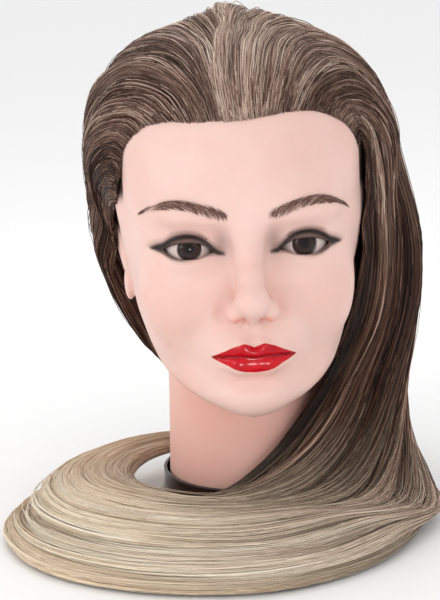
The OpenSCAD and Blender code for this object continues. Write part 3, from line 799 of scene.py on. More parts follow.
# Grooves between locks: place across, width, first and last station, drift.
RIGHT_GROOVES = [
    (0.10, 0.018, 6, 34, 0.0), (0.36, 0.022, 9, 32, -0.001), (0.60, 0.02, 3, 30, 0.0008),
    (0.77, 0.018, 2, 36, 0.0), (0.26, 0.012, 2, 24, 0.001), (0.50, 0.014, 18, 36, 0.0),
    (0.9, 0.012, 0, 34, 0.0)]
LEFT_GROOVES = [
    (0.2, 0.02, 2, 30, 0.002), (0.45, 0.025, 3, 40, 0.001), (0.62, 0.018, 0, 26, 0.0), (0.8, 0.02, 4, 40, 0.0)]
BACK_GROOVES = [(0.25, 0.018, 2, 40, 0.0), (0.5, 0.018, 4, 40, 0.002), (0.75, 0.018, 2, 40, 0.0)]


def hair_object(name, points, ways, tone, radius_mean, seed):
    radius = radius_mean * np.random.default_rng(seed).uniform(0.75, 1.25, len(points))
    return fast_mesh(name, *tubes(points, ways, tone, radius))


# ---------------------------------------------------------------- materials

def srgb(r, g, b):
    """Linear colour from 0-255 screen values."""
    f = lambda c: c / 12.92 if c <= 0.04045 else ((c + 0.055) / 1.055) ** 2.4
    return (f(r / 255), f(g / 255), f(b / 255), 1.0)


class Nodes:
    """Short way to build a material's nodes."""

    def __init__(self, name):
        self.material = bpy.data.materials.new(name)
        self.material.use_nodes = True
        self.tree = self.material.node_tree
        self.shader = self.tree.nodes["Principled BSDF"]

    def add(self, kind, **values):
        node = self.tree.nodes.new("ShaderNode" + kind)
        for key, value in values.items():
            setattr(node, key, value)
        return node

    def link(self, a, b):
        self.tree.links.new(a, b)

    def put(self, node, **values):
        for key, value in values.items():
            node.inputs[key.replace("_", " ")].default_value = value

    def math(self, kind, a, b=None, clamp=False):
        node = self.add("Math", operation=kind, use_clamp=clamp)
        for i, v in enumerate((a, b)):
            if v is None:
                continue
            if isinstance(v, (int, float)):
                node.inputs[i].default_value = v
            else:
                self.link(v, node.inputs[i])
        return node.outputs[0]

    def step(self, value, low, high):
        node = self.add("MapRange", interpolation_type="SMOOTHSTEP")
        self.link(value, node.inputs["Value"])
        node.inputs["From Min"].default_value = low
        node.inputs["From Max"].default_value = high
        return node.outputs["Result"]

    def mix(self, factor, a, b, kind="MIX"):
        node = self.add("Mix", data_type="RGBA", blend_type=kind)
        for socket, v in ((node.inputs["Factor"], factor), (node.inputs["A"], a), (node.inputs["B"], b)):
            if isinstance(v, (int, float, tuple)):
                socket.default_value = v
            else:
                self.link(v, socket)
        return node.outputs["Result"]

    def mixf(self, factor, a, b):
        node = self.add("Mix", data_type="FLOAT")
        for socket, v in ((node.inputs["Factor"], factor), (node.inputs["A"], a), (node.inputs["B"], b)):
            if isinstance(v, (int, float)):
                socket.default_value = v
            else:
                self.link(v, socket)
        return node.outputs["Result"]

    def attribute(self, name):
        return self.add("Attribute", attribute_name=name).outputs["Fac"]

    def noise(self, scale, detail=2.0, coords=None, rough=0.5):
        node = self.add("TexNoise")
        self.put(node, Scale=scale, Detail=detail, Roughness=rough)
        self.link(coords or self.add("TexCoord").outputs["Object"], node.inputs["Vector"])
        return node.outputs["Fac"]

    def ramp(self, value, *stops):
        """Colours between stops of (position, screen colour)."""
        node = self.add("ValToRGB")
        while len(node.color_ramp.elements) < len(stops):
            node.color_ramp.elements.new(0.5)
        for e, (at, colour) in zip(node.color_ramp.elements, stops):
            e.position = at
            e.color = srgb(*colour)
        self.link(value, node.inputs["Fac"])
        return node.outputs["Color"]

    def hair_map(self):
        """Tone and way along the hair, from the hair map."""
        split = self.add("SeparateXYZ")
        self.link(self.add("UVMap", uv_map="OFBake").outputs["UV"], split.inputs[0])
        return split.outputs["X"], split.outputs["Y"]

    def stretched_map(self, across, along):
        node = self.add("VectorMath", operation="MULTIPLY")
        self.link(self.add("UVMap", uv_map="OFBake").outputs["UV"], node.inputs[0])
        node.inputs[1].default_value = (across, along, 1.0)
        return node.outputs[0]

    def bump(self, height, distance):
        node = self.add("Bump")
        self.put(node, Strength=1.0, Distance=distance)
        self.link(height, node.inputs["Height"])
        self.link(node.outputs["Normal"], self.shader.inputs["Normal"])


def skin_material():
    m = Nodes("vinyl_skin")
    s = m.shader
    tone = m.mix(m.step(m.noise(28.0, 3.0), 0.3, 0.7), srgb(236, 201, 191), srgb(232, 193, 182))
    tone = m.mix(m.attribute("blush"), tone, srgb(233, 160, 150))
    # painted shade: darker orange under the jaw, in the nostril holes and in the fold by the ears
    tone = m.mix(m.attribute("shade"), tone, srgb(236, 150, 124))
    tone = m.mix(m.attribute("lidshadow"), tone, srgb(86, 58, 51))
    tone = m.mix(m.attribute("browshadow"), tone, srgb(150, 112, 98))
    liner = m.math("MULTIPLY", m.step(m.attribute("liner"), 1.5, -0.7), 0.96)
    tone = m.mix(liner, tone, srgb(20, 9, 6))
    lip = m.step(m.attribute("lips"), 0.28, -0.28)
    red = m.mix(m.step(m.noise(260.0, 2.0), 0.35, 0.7), srgb(206, 4, 30), srgb(190, 2, 22))
    # painted shade: the upper lip darker, and a dark red line painted as the shade in the parting between the
    # lips
    red = m.mix(m.attribute("upper_lip_shade"), red, srgb(166, 6, 24))
    red = m.mix(m.attribute("mouth_line_shade"), red, srgb(84, 3, 10))
    tone = m.mix(lip, tone, red)
    # painted shade: the scalp above the hairline darkened as the shadow among the hair's roots
    tone = m.mix(m.attribute("scalp"), tone, srgb(46, 33, 28))
    m.link(tone, s.inputs["Base Color"])
    rough = m.mixf(lip, m.mixf(m.noise(180.0, 3.0), 0.42, 0.54), 0.2)
    m.link(rough, s.inputs["Roughness"])
    m.put(s, Subsurface_Weight=0.22, Subsurface_Scale=0.006, Subsurface_Radius=(1.0, 0.35, 0.22), IOR=1.46,
          Specular_IOR_Level=0.3)
    pores = m.math("MULTIPLY", m.noise(1400.0, 2.0), m.math("SUBTRACT", 1.0, lip))
    m.bump(pores, 0.00006)
    return m.material


def brow_material():
    m = Nodes("brow_paint")
    m.link(m.mix(m.noise(900.0), srgb(84, 50, 38), srgb(122, 80, 62)), m.shader.inputs["Base Color"])
    m.put(m.shader, Roughness=0.6)
    return m.material


def plastic(name, dark, light, rough, grain=700.0, height=0.00002):
    m = Nodes(name)
    m.link(m.mix(m.step(m.noise(45.0, 4.0), 0.35, 0.7), dark, light), m.shader.inputs["Base Color"])
    m.link(m.mixf(m.noise(220.0, 4.0), rough * 0.8, rough * 1.3), m.shader.inputs["Roughness"])
    m.bump(m.noise(grain, 3.0), height)
    return m.material


def metal(name):
    m = Nodes(name)
    shine = m.mix(m.noise(300.0, 4.0), srgb(150, 150, 152), srgb(196, 197, 200))
    m.link(shine, m.shader.inputs["Base Color"])
    m.link(m.mixf(m.noise(500.0, 3.0), 0.22, 0.4), m.shader.inputs["Roughness"])
    m.put(m.shader, Metallic=1.0)
    m.bump(m.noise(1500.0, 2.0), 0.00001)
    return m.material


def eye_material(side):
    """White, iris and pupil by the distance from the eye's own axis."""
    m = Nodes("eye_" + ("right" if side < 0 else "left"))
    spot = m.add("VectorMath", operation="SUBTRACT")
    m.link(m.add("TexCoord").outputs["Object"], spot.inputs[0])
    spot.inputs[1].default_value = ((side * EYE[0] + LEAN) * MM, EYE[1] * MM, EYE[2] * MM)
    flat = m.add("SeparateXYZ")
    m.link(spot.outputs[0], flat.inputs[0])
    x, z = flat.outputs["X"], flat.outputs["Z"]
    radius = m.math("SQRT", m.math("ADD", m.math("MULTIPLY", x, x), m.math("MULTIPLY", z, z)))
    spokes = m.add("TexNoise", noise_dimensions="1D")
    m.put(spokes, Scale=9.0, Detail=4.0)
    m.link(m.math("ARCTAN2", x, z), spokes.inputs["W"])
    ring = m.ramp(m.math("MULTIPLY", radius, 1000 / IRIS_R), (0.0, (3, 2, 2)), (0.38, (3, 2, 2)),
                  (0.44, (36, 21, 17)), (0.74, (56, 35, 29)), (0.90, (22, 12, 10)), (1.0, (18, 10, 9)))
    iris = m.mix(m.math("MULTIPLY", m.step(spokes.outputs["Fac"], 0.35, 0.65), 0.55), ring, srgb(30, 17, 14))
    ball = m.mix(m.step(m.noise(120.0, 3.0), 0.35, 0.75), srgb(216, 198, 193), srgb(200, 176, 169))
    edge = m.step(radius, (IRIS_R - 0.25) * MM, (IRIS_R + 0.5) * MM)
    m.link(m.mix(edge, iris, ball), m.shader.inputs["Base Color"])
    m.link(m.mixf(edge, 0.9, m.mixf(m.noise(300.0), 0.2, 0.3)), m.shader.inputs["Roughness"])
    m.put(m.shader, Specular_IOR_Level=0.12)
    m.bump(m.noise(300.0), 0.00001)
    return m.material


def cornea_material():
    m = Nodes("cornea")
    m.link(m.mixf(m.noise(400.0), 0.0, 0.03), m.shader.inputs["Roughness"])
    m.put(m.shader, Base_Color=(1, 1, 1, 1), Transmission_Weight=1.0, IOR=1.28)
    return m.material


def hair_material():
    """Colour runs from the roots to the ends along the hair map, with a tone for each strand across it."""
    m = Nodes("hair")
    tone, along = m.hair_map()
    jitter = m.add("TexWhiteNoise", noise_dimensions="1D")
    m.link(m.math("FLOOR", m.math("MULTIPLY", tone, 400.0)), jitter.inputs["W"])
    shift = m.math("MULTIPLY", m.math("SUBTRACT", jitter.outputs["Value"], 0.5), 0.2)
    way = m.math("ADD", along, shift)
    # near the roots: partly lighter strands and partly a painted highlight on the top of the head
    crown_and_highlight = m.ramp(tone, (0.0, (44, 25, 18)), (0.3, (88, 60, 48)), (0.55, (150, 120, 105)),
                   (0.75, (202, 175, 158)), (1.0, (238, 220, 202)))
    fall = m.ramp(tone, (0.0, (14, 6, 3)), (0.3, (50, 27, 18)), (0.55, (108, 73, 56)),
                  (0.75, (158, 122, 102)), (1.0, (206, 174, 151)))
    ends = m.ramp(tone, (0.0, (222, 197, 169)), (0.3, (244, 223, 195)), (0.6, (253, 238, 213)),
                  (1.0, (255, 248, 230)))
    brown = m.mix(m.step(along, 0.08, 0.26), crown_and_highlight, fall)
    m.link(m.mix(m.step(way, 0.36, 0.71), brown, ends), m.shader.inputs["Base Color"])
    m.put(m.shader, Roughness=0.42, IOR=1.5, Specular_IOR_Level=0.22)
    return m.material


def under_material():
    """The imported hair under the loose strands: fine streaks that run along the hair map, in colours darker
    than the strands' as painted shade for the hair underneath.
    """
    m = Nodes("hair_under")
    streak = m.noise(1.0, 3.0, m.stretched_map(260.0, 5.0), 0.6)
    lock = m.noise(1.0, 2.0, m.stretched_map(40.0, 2.0))
    tone = m.math("ADD", m.math("MULTIPLY", streak, 0.75), m.math("MULTIPLY", lock, 0.35))
    along = m.hair_map()[1]
    # near the roots: partly lighter hair and partly a painted highlight on the top of the head
    crown_and_highlight = m.ramp(tone, (0.30, (38, 24, 19)), (0.52, (80, 58, 50)), (0.68, (120, 96, 86)),
                   (0.85, (168, 146, 133)))
    fall = m.ramp(tone, (0.30, (14, 7, 5)), (0.52, (38, 23, 18)), (0.68, (70, 48, 39)), (0.85, (116, 90, 77)))
    ends = m.ramp(tone, (0.30, (210, 184, 157)), (0.52, (236, 213, 185)), (0.68, (247, 229, 203)),
                  (0.85, (252, 240, 218)))
    brown = m.mix(m.step(along, 0.08, 0.26), crown_and_highlight, fall)
    m.link(m.mix(m.step(along, 0.36, 0.70), brown, ends), m.shader.inputs["Base Color"])
    m.put(m.shader, Roughness=0.5, Specular_IOR_Level=0.2)
    m.bump(streak, 0.0006)
    return m.material


# ---------------------------------------------------------------- paint on the skin

LIP_CORNER = 23.9
LIP_UPPER = smooth_table([0, 2.5, 5.1, 9, 14, 19, LIP_CORNER],
                         [117.6, 118.9, 120.0, 118.9, 116.6, 113.9, 111.2])
LIP_LOWER = smooth_table([0, 5, 10, 15, 20, LIP_CORNER], [103.3, 103.8, 105.2, 107.2, 109.3, 111.0])
HAIRLINE = [
    (-70, -12, 183), (-69, -38, 188), (-68, -40, 206), (-65, -48, 223), (-58, -60, 235.5), (-48, -72, 241.7),
    (-34, -83, 242.4), (-20, -87, 240.8), (0, -88, 240.4), (14, -88, 243), (17, -87, 246), (29, -85, 248.6),
    (42, -76, 246), (51, -68, 240.5), (58, -58, 231), (62, -50, 218.6), (64, -45, 205), (66, -40, 190),
    (70, -12, 183)]
# The line painted on the upper lid's fold: its height over the lid's edge and its width.
CREASE_X = [-19, -15, -9, 0, 8, 14, 18, 21]
CREASE_UP = smooth_table(CREASE_X, [0.2, 0.8, 2.4, 3.6, 3.4, 2.2, 0.6, -0.4])
CREASE_WIDE = smooth_table(CREASE_X, [0.5, 1.5, 1.8, 1.8, 2.1, 2.6, 2.1, 0.3])
LINER_LOWER = smooth_table([-18, -15, -12, -8, 0, 6, 11, 15, 18, 20],
                           [0.3, 0.9, 0.7, 0.3, 0.3, 0.6, 1.1, 1.3, 0.9, 0.2])
BROW_MID = smooth_table([12, 19, 26, 33, 40, 46, 52, 58],
                        [191.6, 194.0, 196.2, 197.8, 198.0, 196.6, 193.2, 187.6])
FAR = 9.0  # a distance at which no paint shows


def lip_paint(x, y, z):
    ax = np.abs(x)
    front = y < -60
    edge = np.maximum(z - np.interp(ax, *LIP_UPPER), np.interp(ax, *LIP_LOWER) - z)
    edge = np.maximum(edge, (ax - LIP_CORNER) * 1.5)
    # the upper lip darkened as painted shade, and a dark line painted as the shade in the lips' parting
    over = z - np.interp(ax, [0, 5, 14, 24], [112.2, 112.8, 112.1, 111.1])
    return {
        "lips": np.where(front, edge, FAR),
        "upper_lip_shade": ramp(over, -0.5, 3.5) * (1 - 0.5 * ramp(over, 4, 8)) * front * 0.4,
        "mouth_line_shade": np.exp(-(over / 0.7) ** 2) * (ax < 24) * front * 0.8}


def eye_paint(x, y, z):
    ex = np.abs(x - LEAN) - EYE[0]
    ez = z - EYE[2]
    up, down = lid_edges(ex)
    front = y < -40
    # upper liner: a line along the lid's fold that meets the lid's edge at both corners
    fold = up + np.interp(ex, *CREASE_UP)
    upper = np.abs(ez - fold) - np.interp(ex, *CREASE_WIDE) / 2
    upper = np.minimum(upper, np.abs(ez - up) - 0.35)
    upper = np.maximum(upper, np.maximum(-18.5 - ex, ex - 20.5))
    # lower liner, fainter towards the nose
    wide = np.interp(ex, *LINER_LOWER)
    lower = np.abs(ez - down + wide / 2) - wide / 2 + 0.1 + 0.7 * (1 - ramp(ex, -4, 10))
    lower = np.maximum(lower, np.maximum(-18.5 - ex, ex - 20.0))
    # brown shadow on the upper lid, under the eye and beside the nose
    over = np.clip((ez - up + 1.0) / 0.8, 0, 1) * (1 - 0.35 * ramp(ez, fold, fold + 1))
    over = over * (1 - ramp(ez, fold + 0.5, fold + 5.5)) * ramp(ex, -22, -12) * (1 - ramp(ex, 17, 25))
    under = (1 - ramp(down - ez, 0.2, 4.0)) * (ez < down + 0.4) * (0.35 + 0.65 * ramp(ex, -6, 10))
    under = under * ramp(ex, -18, -13) * (1 - ramp(ex, 15, 21))
    inner = np.exp(-((ex + 17.0) / 5) ** 2 - ((ez - 3) / 8) ** 2) * 0.55
    return {
        "liner": np.where(front, np.minimum(upper, lower), FAR),
        "lidshadow": np.clip(over + 0.4 * under + inner, 0, 1) * front * 0.9}


def flush_paint(x, y, z):
    """Pink on the cheeks, nose and chin, and painted shade in the nostrils, under the jaw and in the fold by
    the ears.
    """
    ax = np.abs(x)
    nx = np.abs(x - LEAN * 0.6)
    cheek = np.exp(-((ax - 46) / 19) ** 2 - ((z - 140) / 18) ** 2) * 0.10
    nose = np.exp(-((nx - 15) / 6) ** 2 - ((z - 137) / 8) ** 2) * 0.14
    nostril = np.exp(-((nx - 7.6) / 3.6) ** 2 - ((z - 134.4) / 2.6) ** 2) * (y < -88) * 0.8
    chin = np.exp(-(x / 18) ** 2 - ((z - 99) / 3.6) ** 2) * 0.3
    # painted shade under the jaw, in the nostril holes and in the fold in front of the ear
    jaw = ramp(-z, -100, -84) * ramp(y, -76, -58)
    hole = np.exp(-((nx - 7.6) / 2.4) ** 2 - ((z - 134.6) / 1.7) ** 2) * (y < -90)
    fold = np.exp(-((ax - 67.5) / 3) ** 2 - ((y + 8.5) / 2.2) ** 2) * (z > 124) * (z < 176)
    return {
        "blush": np.clip(cheek + nose + chin + nostril, 0, 1) * (y < -40),
        "shade": np.clip(0.3 * jaw + 0.9 * hole + 0.12 * fold, 0, 1)}


def brow_shadow(x, y, z):
    bx = np.abs(x - LEAN)
    tall = np.interp(bx, [10, 18, 30, 44, 58], [2.0, 2.6, 2.6, 2.0, 1.0])
    shadow = np.exp(-((z - np.interp(bx, *BROW_MID)) / tall) ** 2)
    return {"browshadow": shadow * ramp(bx, 9, 17) * (1 - ramp(bx, 52, 59)) * (y < -40) * 0.75}


def scalp_shade_paint(x, y, z):
    """Painted shade on the scalp above the hairline, dark as the shadow among the hair's roots, by the bearing
    from the middle of the head.
    """
    line = np.array(HAIRLINE, float)
    bearing = np.degrees(np.arctan2(line[:, 0], -line[:, 1]))
    order = np.argsort(bearing)
    here = np.degrees(np.arctan2(x, -y))
    above_front = z - np.interp(here, bearing[order], line[order, 2])
    above_back = z - np.interp(np.abs(here), [97, 115, 135, 180], [172, 140, 115, 105])
    above_back = np.minimum(above_back, (np.abs(here) - 99) * 1.2)
    return {"scalp": ramp(np.maximum(above_front, above_back), 0.0, 9.0) * 0.95}


def paint(v):
    """Make-up and shading over the skin's points. Lips and liner are signed distances in millimetres."""
    x, y, z = v.T
    out = {}
    for part in (lip_paint, eye_paint, flush_paint, brow_shadow, scalp_shade_paint):
        out.update(part(x, y, z))
    return out


def brow_strokes(side):
    """Painted hairs of one brow as thin tubes lying in the skin."""
    r = np.random.default_rng(40 + int(side))
    count = 300
    a = np.sort(r.uniform(11.5, 57.5, count))
    body = np.interp(a, [11, 16, 24, 38, 50, 58], [1.4, 2.3, 2.5, 2.2, 1.5, 0.8])
    mid = np.interp(a, *BROW_MID)
    offset = r.uniform(-1, 1, count)
    slope = np.interp(a, [12, 20, 30, 42, 50, 58], [1.3, 0.95, 0.6, 0.15, -0.45, -0.95])
    lean = np.maximum(slope + r.normal(0, 0.08, count) - offset * 0.2, -0.7)
    size = np.interp(a, [12, 20, 40, 58], [4.6, 6.4, 6.4, 4.0]) * r.uniform(0.75, 1.15, count)
    t = np.linspace(0, 1, 7)
    px = a[:, None] + (t[None] - 0.4) * (size * np.cos(lean))[:, None]
    pz = (mid + offset * body)[:, None] + (t[None] - 0.4) * (size * np.sin(lean))[:, None]
    pz = pz - 0.105 * (t[None] ** 2) * size[:, None]
    p = np.stack([px * side + LEAN, np.full_like(px, -93.0), pz], -1)
    # slide every point along Y until it lies in the skin
    flat = p.reshape(-1, 3)
    for _ in range(20):
        d = head_field(flat.T)
        gy = (head_field((flat + [0, 0.3, 0]).T) - d) / 0.3
        flat[:, 1] -= np.clip((d - 0.02) / np.minimum(gy, -0.3), -3, 3)
    p = flat.reshape(p.shape)
    p = p[np.linalg.norm(np.diff(p, axis=1), axis=2).max(1) < 2.2]
    return p, np.tile(t, (len(p), 1)), r.uniform(0, 1, len(p))


# ---------------------------------------------------------------- build

def set_material(ob, material):
    ob.data.materials.clear()
    ob.data.materials.append(material)


def revolve(profile, centre, count=64):
    """A closed surface of revolution about the -Y axis from (radius, depth) pairs, both ends on the axis."""
    verts = []
    for r, y in profile[1:-1]:
        for k in range(count):
            a = 2 * math.pi * k / count
            verts.append((centre[0] + r * math.cos(a), centre[1] + y, centre[2] + r * math.sin(a)))
    for _, y in (profile[0], profile[-1]):
        verts.append((centre[0], centre[1] + y, centre[2]))
    rings = len(profile) - 2
    k = np.arange(count)
    nxt = (k + 1) % count
    quads = []
    for i in range(rings - 1):
        near, far = i * count, (i + 1) * count
        quads.append(np.stack([near + k, near + nxt, far + nxt, far + k], -1))
    edge = (rings - 1) * count
    first = np.stack([np.full(count, rings * count), nxt, k], -1)
    last = np.stack([np.full(count, rings * count + 1), edge + k, edge + nxt], -1)
    return np.array(verts), np.concatenate(quads), np.concatenate([first, last])


def eye_centre(side):
    return (side * EYE[0] + LEAN, EYE[1], EYE[2])


def eyeball(side, word, material):
    """Eyeball with the iris set back in a shallow dish."""
    dish = 0.9
    ball = EYE_R - 0.1
    rim = math.asin((IRIS_R + 0.2) / ball)
    edge = -ball * math.cos(rim)
    profile = [(0, edge + dish)]
    profile += [(r, edge + dish * (1 - (r / IRIS_R) ** 2)) for r in np.linspace(0.5, IRIS_R, 12)]
    profile += [(ball * math.sin(a), -ball * math.cos(a)) for a in np.linspace(rim, math.pi - 0.05, 40)]
    profile += [(0, ball)]
    ob = fast_mesh("eyeball_" + word, *revolve(profile, eye_centre(side)))
    set_material(ob, material)
    ride_head(ob, "eye_white", "eye_ball_" + word, "eye_iris_" + word)


def cornea_cap(side, word, material):
    """Clear domed window over the iris."""
    dome = 10.0
    ball = EYE_R - 0.1
    rim = IRIS_R + 0.25
    edge = -math.sqrt(ball ** 2 - rim ** 2)
    half = math.asin(rim / dome)
    back = edge + dome * math.cos(half)
    profile = [(dome * math.sin(a), back - dome * math.cos(a)) for a in np.linspace(0, half, 16)]
    profile += [(rim - 0.3, edge + 2.4), (0, edge + 2.6)]
    ob = fast_mesh("cornea_" + word, *revolve(profile, eye_centre(side)))
    set_material(ob, material)
    ride_head(ob, "cornea", "eye_cornea_" + word)


def build_skin(material):
    verts, quads = build_head()
    ob = fast_mesh("head_skin", verts, quads)
    for name, values in paint(verts).items():
        layer = ob.data.attributes.new(name, "FLOAT", "POINT")
        layer.data.foreach_set("value", values.astype(np.float32))
    set_material(ob, material)
    ride_head(ob, "vinyl_skin", "skin")


def at_stations(data, dense, t):
    """Vectors given at dense stations, read at the stations t of each row."""
    rows = [np.stack([np.interp(t[i], dense, data[i, :, k]) for k in range(3)], -1) for i in range(len(t))]
    return np.stack(rows)


def closed_sheet(outer, inner):
    """Points and quads of a closed sheet between two grids of the same size."""
    rows, cols = outer.shape[:2]
    idx = np.arange(rows * cols).reshape(rows, cols)
    below = rows * cols
    a, b, c, d = idx[:-1, :-1], idx[1:, :-1], idx[1:, 1:], idx[:-1, 1:]
    rim = np.concatenate([idx[:-1, 0], idx[-1, :-1], idx[:0:-1, -1], idx[0, :0:-1]])
    ahead = np.roll(rim, -1)
    quads = [np.stack([a, b, c, d], -1).reshape(-1, 4),
             np.stack([a, d, c, b], -1).reshape(-1, 4) + below,
             np.stack([ahead, rim, rim + below, ahead + below], -1)]
    return np.concatenate([outer.reshape(-1, 3), inner.reshape(-1, 3)]), np.concatenate(quads)


def under_shell(name, sheet, longest, grooves, edge, seed):
    """A closed sheet under the strands, so that no light shows between them, darker than the strands as
    painted shade for the hair underneath.
    """
    u = np.linspace(0.012, edge, 90)
    dense = np.linspace(0.6, sheet.stations - 1.2, 240)
    mid, n = sheet.surface(u, dense)
    marks = np.linspace(0, 1, 120)
    ragged = 1 - 0.16 * np.interp(u, np.linspace(0, 1, 24), np.random.default_rng(seed).uniform(0, 1, 24))
    t = []
    for arc, share in zip(arc_lengths(mid), ragged):
        t.append(np.interp(marks * min(longest, arc[-1]) * share, arc, dense))
    t = np.array(t)
    mid, n = at_stations(mid, dense, t), at_stations(n, dense, t)
    n /= np.linalg.norm(n, axis=2, keepdims=True)
    sink = sheet.depth(u[:, None], t) * (0.5 + 0.5 * ramp(marks, 0.85, 1.0)[None])
    sink = sink + 4.0 * locks(u[:, None], t, grooves)
    lift = stack(mid.reshape(-1, 3).T).reshape(mid.shape[:2])
    room = lift * (0.5 + 0.3 * ramp(t, 0, 8)) + 0.5 * (1 - ramp(t, 0, 4))
    sink = np.minimum(sink, np.maximum(room, 0)) + 0.5 * (1 - ramp(t, 0, 3))
    outer = push_out(mid - n * sink[..., None], np.where(t < 4, -0.6, 0.8))
    thick = 1.4 * (1 - 0.9 * ramp(marks, 0.93, 1.0))
    inner = outer - n * thick[None, :, None]
    inner[..., 2] = np.maximum(inner[..., 2], 0.15)
    verts, quads = closed_sheet(outer, inner)
    way = sheet.way(u[:, None], arc_lengths(mid))
    uv = np.stack([np.tile(u[:, None], (1, len(marks))), way], -1).reshape(-1, 2)
    return fast_mesh(name, verts, quads, uv=np.concatenate([uv, uv])[quads.ravel()])


def area_light(name, place, size, power, target, colour=(1, 1, 1)):
    light = bpy.data.lights.new(name, "AREA")
    light.shape = "RECTANGLE"
    light.size, light.size_y = size
    light.energy = power
    light.color = colour
    ob = bpy.data.objects.new(name, light)
    bpy.context.scene.collection.objects.link(ob)
    ob.location = place
    ob.rotation_euler = (Vector(target) - Vector(place)).to_track_quat("-Z", "Y").to_euler()
    return ob


def stage_floor():
    bpy.ops.mesh.primitive_plane_add(size=30.0, location=(0, 0, -0.0003))
    floor = bpy.context.object
    floor.name = "floor"
    m = Nodes("floor")
    m.put(m.shader, Base_Color=(0.94, 0.94, 0.94, 1), Roughness=0.7)
    set_material(floor, m.material)


def camera():
    yaw, pitch, roll = (math.radians(q) for q in (-3.152, 14.291, -2.0))
    ahead = Vector((-math.sin(yaw) * math.cos(pitch), math.cos(yaw) * math.cos(pitch), -math.sin(pitch)))
    right = Vector((math.cos(yaw), math.sin(yaw), 0))
    up = right.cross(ahead)
    right2 = math.cos(roll) * right + math.sin(roll) * up
    up2 = -math.sin(roll) * right + math.cos(roll) * up
    data = bpy.data.cameras.new("camera")
    ob = bpy.data.objects.new("camera", data)
    bpy.context.scene.collection.objects.link(ob)
    data.sensor_fit = "VERTICAL"
    data.angle = 2 * math.atan(300 / 1985)
    m = Matrix((right2, up2, -ahead)).transposed().to_4x4()
    m.translation = Vector((-0.0752, -1.1321, 0.4102))
    ob.matrix_world = m
    bpy.context.scene.camera = ob


def surroundings():
    scene = bpy.context.scene
    scene.view_settings.view_transform = "Standard"
    world = bpy.data.worlds.new("studio")
    world.use_nodes = True
    world.node_tree.nodes["Background"].inputs["Color"].default_value = (1, 1, 1, 1)
    world.node_tree.nodes["Background"].inputs["Strength"].default_value = 0.92
    scene.world = world
    area_light("key", (-1.25, -0.95, 0.42), (0.7, 0.7), 4.9, (0, 0, 0.13))
    area_light("fill", (0.62, -1.15, 0.42), (0.2, 0.2), 1.0, (0, 0, 0.13))
    glint = area_light("glint", (0.02, -1.0, 0.05), (0.14, 0.14), 2.6, (0, -0.08, 0.16))
    glint.visible_diffuse = False
    area_light("top", (0.0, 0.35, 1.2), (0.8, 0.6), 2.8, (0, 0, 0.2))


def ride_head(ob, slot, *nodes):
    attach(ob, "head")
    if nodes:
        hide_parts(*nodes)


surroundings()
stage_floor()
camera()

looks = {
    "foot_ring": plastic("foot_rubber", srgb(150, 146, 142), srgb(172, 168, 164), 0.5),
    "base_cup": plastic("cup_plastic", srgb(40, 26, 22), srgb(52, 35, 30), 0.2),
    "clamp_socket": plastic("socket_plastic", srgb(34, 30, 30), srgb(44, 40, 39), 0.35),
    "socket_screws": metal("steel"),
    "thrust_washer": plastic("nylon", srgb(226, 222, 212), srgb(236, 233, 226), 0.45),
    "neck_plug": plastic("plug_plastic", srgb(60, 52, 50), srgb(72, 62, 58), 0.45),
}
looks["retaining_clip"] = looks["neck_tacks"] = looks["socket_screws"]
looks["neck_bush"] = looks["thrust_washer"]
looks["eye_holder_right"] = looks["eye_holder_left"] = looks["neck_plug"]
for node, material in looks.items():
    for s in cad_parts[node].material_slots:
        s.material = material

build_skin(skin_material())

brow_paint = brow_material()
cornea = cornea_material()
for side, word in ((-1, "right"), (1, "left")):
    eyeball(side, word, eye_material(side))
    cornea_cap(side, word, cornea)
    points, ways, tone = brow_strokes(side)
    verts, quads, caps, _ = tubes(points, ways, tone, np.full(len(points), BROW_HAIR_R))
    brow = fast_mesh("brow_" + word, verts, quads, caps)
    set_material(brow, brow_paint)
    ride_head(brow, "vinyl_skin")

hair = hair_material()
under = under_material()
thin = 1.0
right_sheet = Sheet(RIGHT_GUIDES, RIGHT_DOWN, RIGHT_TURNS, 1.0, RIGHT_DEPTH)
left_sheet = Sheet(LEFT_GUIDES, None, LEFT_TURNS, 0.66, LEFT_DEPTH)
back_sheet = Sheet(BACK_GUIDES, None, BACK_TURNS, 0.8, BACK_DEPTH)

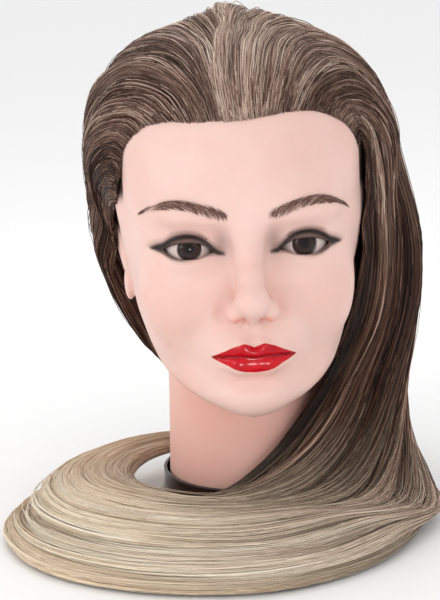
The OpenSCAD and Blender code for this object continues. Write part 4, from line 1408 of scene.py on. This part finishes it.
# How much lighter or darker the hair is, by place across the sheet.
right_bias = [
    (0, -0.42), (0.06, -0.42), (0.1, -0.02), (0.2, 0.0), (0.28, -0.08), (0.36, -0.22), (0.46, -0.14),
    (0.55, 0), (0.7, 0.06), (0.8, 0.22), (1, 0.28)]
left_bias = [
    (0, 0.12), (0.15, 0.08), (0.28, -0.1), (0.5, -0.1), (0.62, 0), (0.75, -0.2), (0.88, -0.3), (1, -0.24)]
back_bias = [(0, 0), (1, 0)]
# name, sheet, strands, locks, mean length, grooves, bias, seed, nodes replaced
families = [
    ("hair_right", right_sheet, 4800, 640, 720, RIGHT_GROOVES, right_bias, 11,
     ("hair_fall_front", "hair_fall_rear", "hair_front_sweep", "hair_coil_right", "hair_coil_front",
      "hair_front", "hair_top", "hair_side_left")),
    ("hair_left", left_sheet, 2700, 380, 860, LEFT_GROOVES, left_bias, 13,
     ("hair_side_right", "hair_behind_right", "hair_nape_sweep", "hair_coil_left")),
    ("hair_back", back_sheet, 2100, 280, 700, BACK_GROOVES, back_bias, 14,
     ("hair_back", "hair_behind_left", "hair_back_sweep", "hair_coil_back", "hair_tail")),
]
for name, sheet, count, clumps, long, grooves, bias, seed, nodes in families:
    points, ways, tone = family(sheet, int(count * thin), clumps, long, grooves, seed, bias)
    order = np.random.default_rng(seed).permutation(len(points))
    pieces = math.ceil(len(points) / PER_PIECE)
    for n, part in enumerate(np.array_split(order, pieces)):
        ob = hair_object(f"{name}_{n + 1}", points[part], ways[part], tone[part], HAIR_R, seed + n)
        set_material(ob, hair)
        ride_head(ob, "hair_lengths", *(nodes if n == 0 else ()))

# name, sheet, longest, grooves, edge, seed
shells = [
    ("hair_under_right", right_sheet, 560, RIGHT_GROOVES, 0.985, 16),
    ("hair_under_left", left_sheet, 640, LEFT_GROOVES, 0.87, 15),
    ("hair_under_back", back_sheet, 500, BACK_GROOVES, 0.985, 15),
]
for shell in shells:
    ob = under_shell(*shell)
    set_material(ob, under)
    ride_head(ob, "hair_roots")
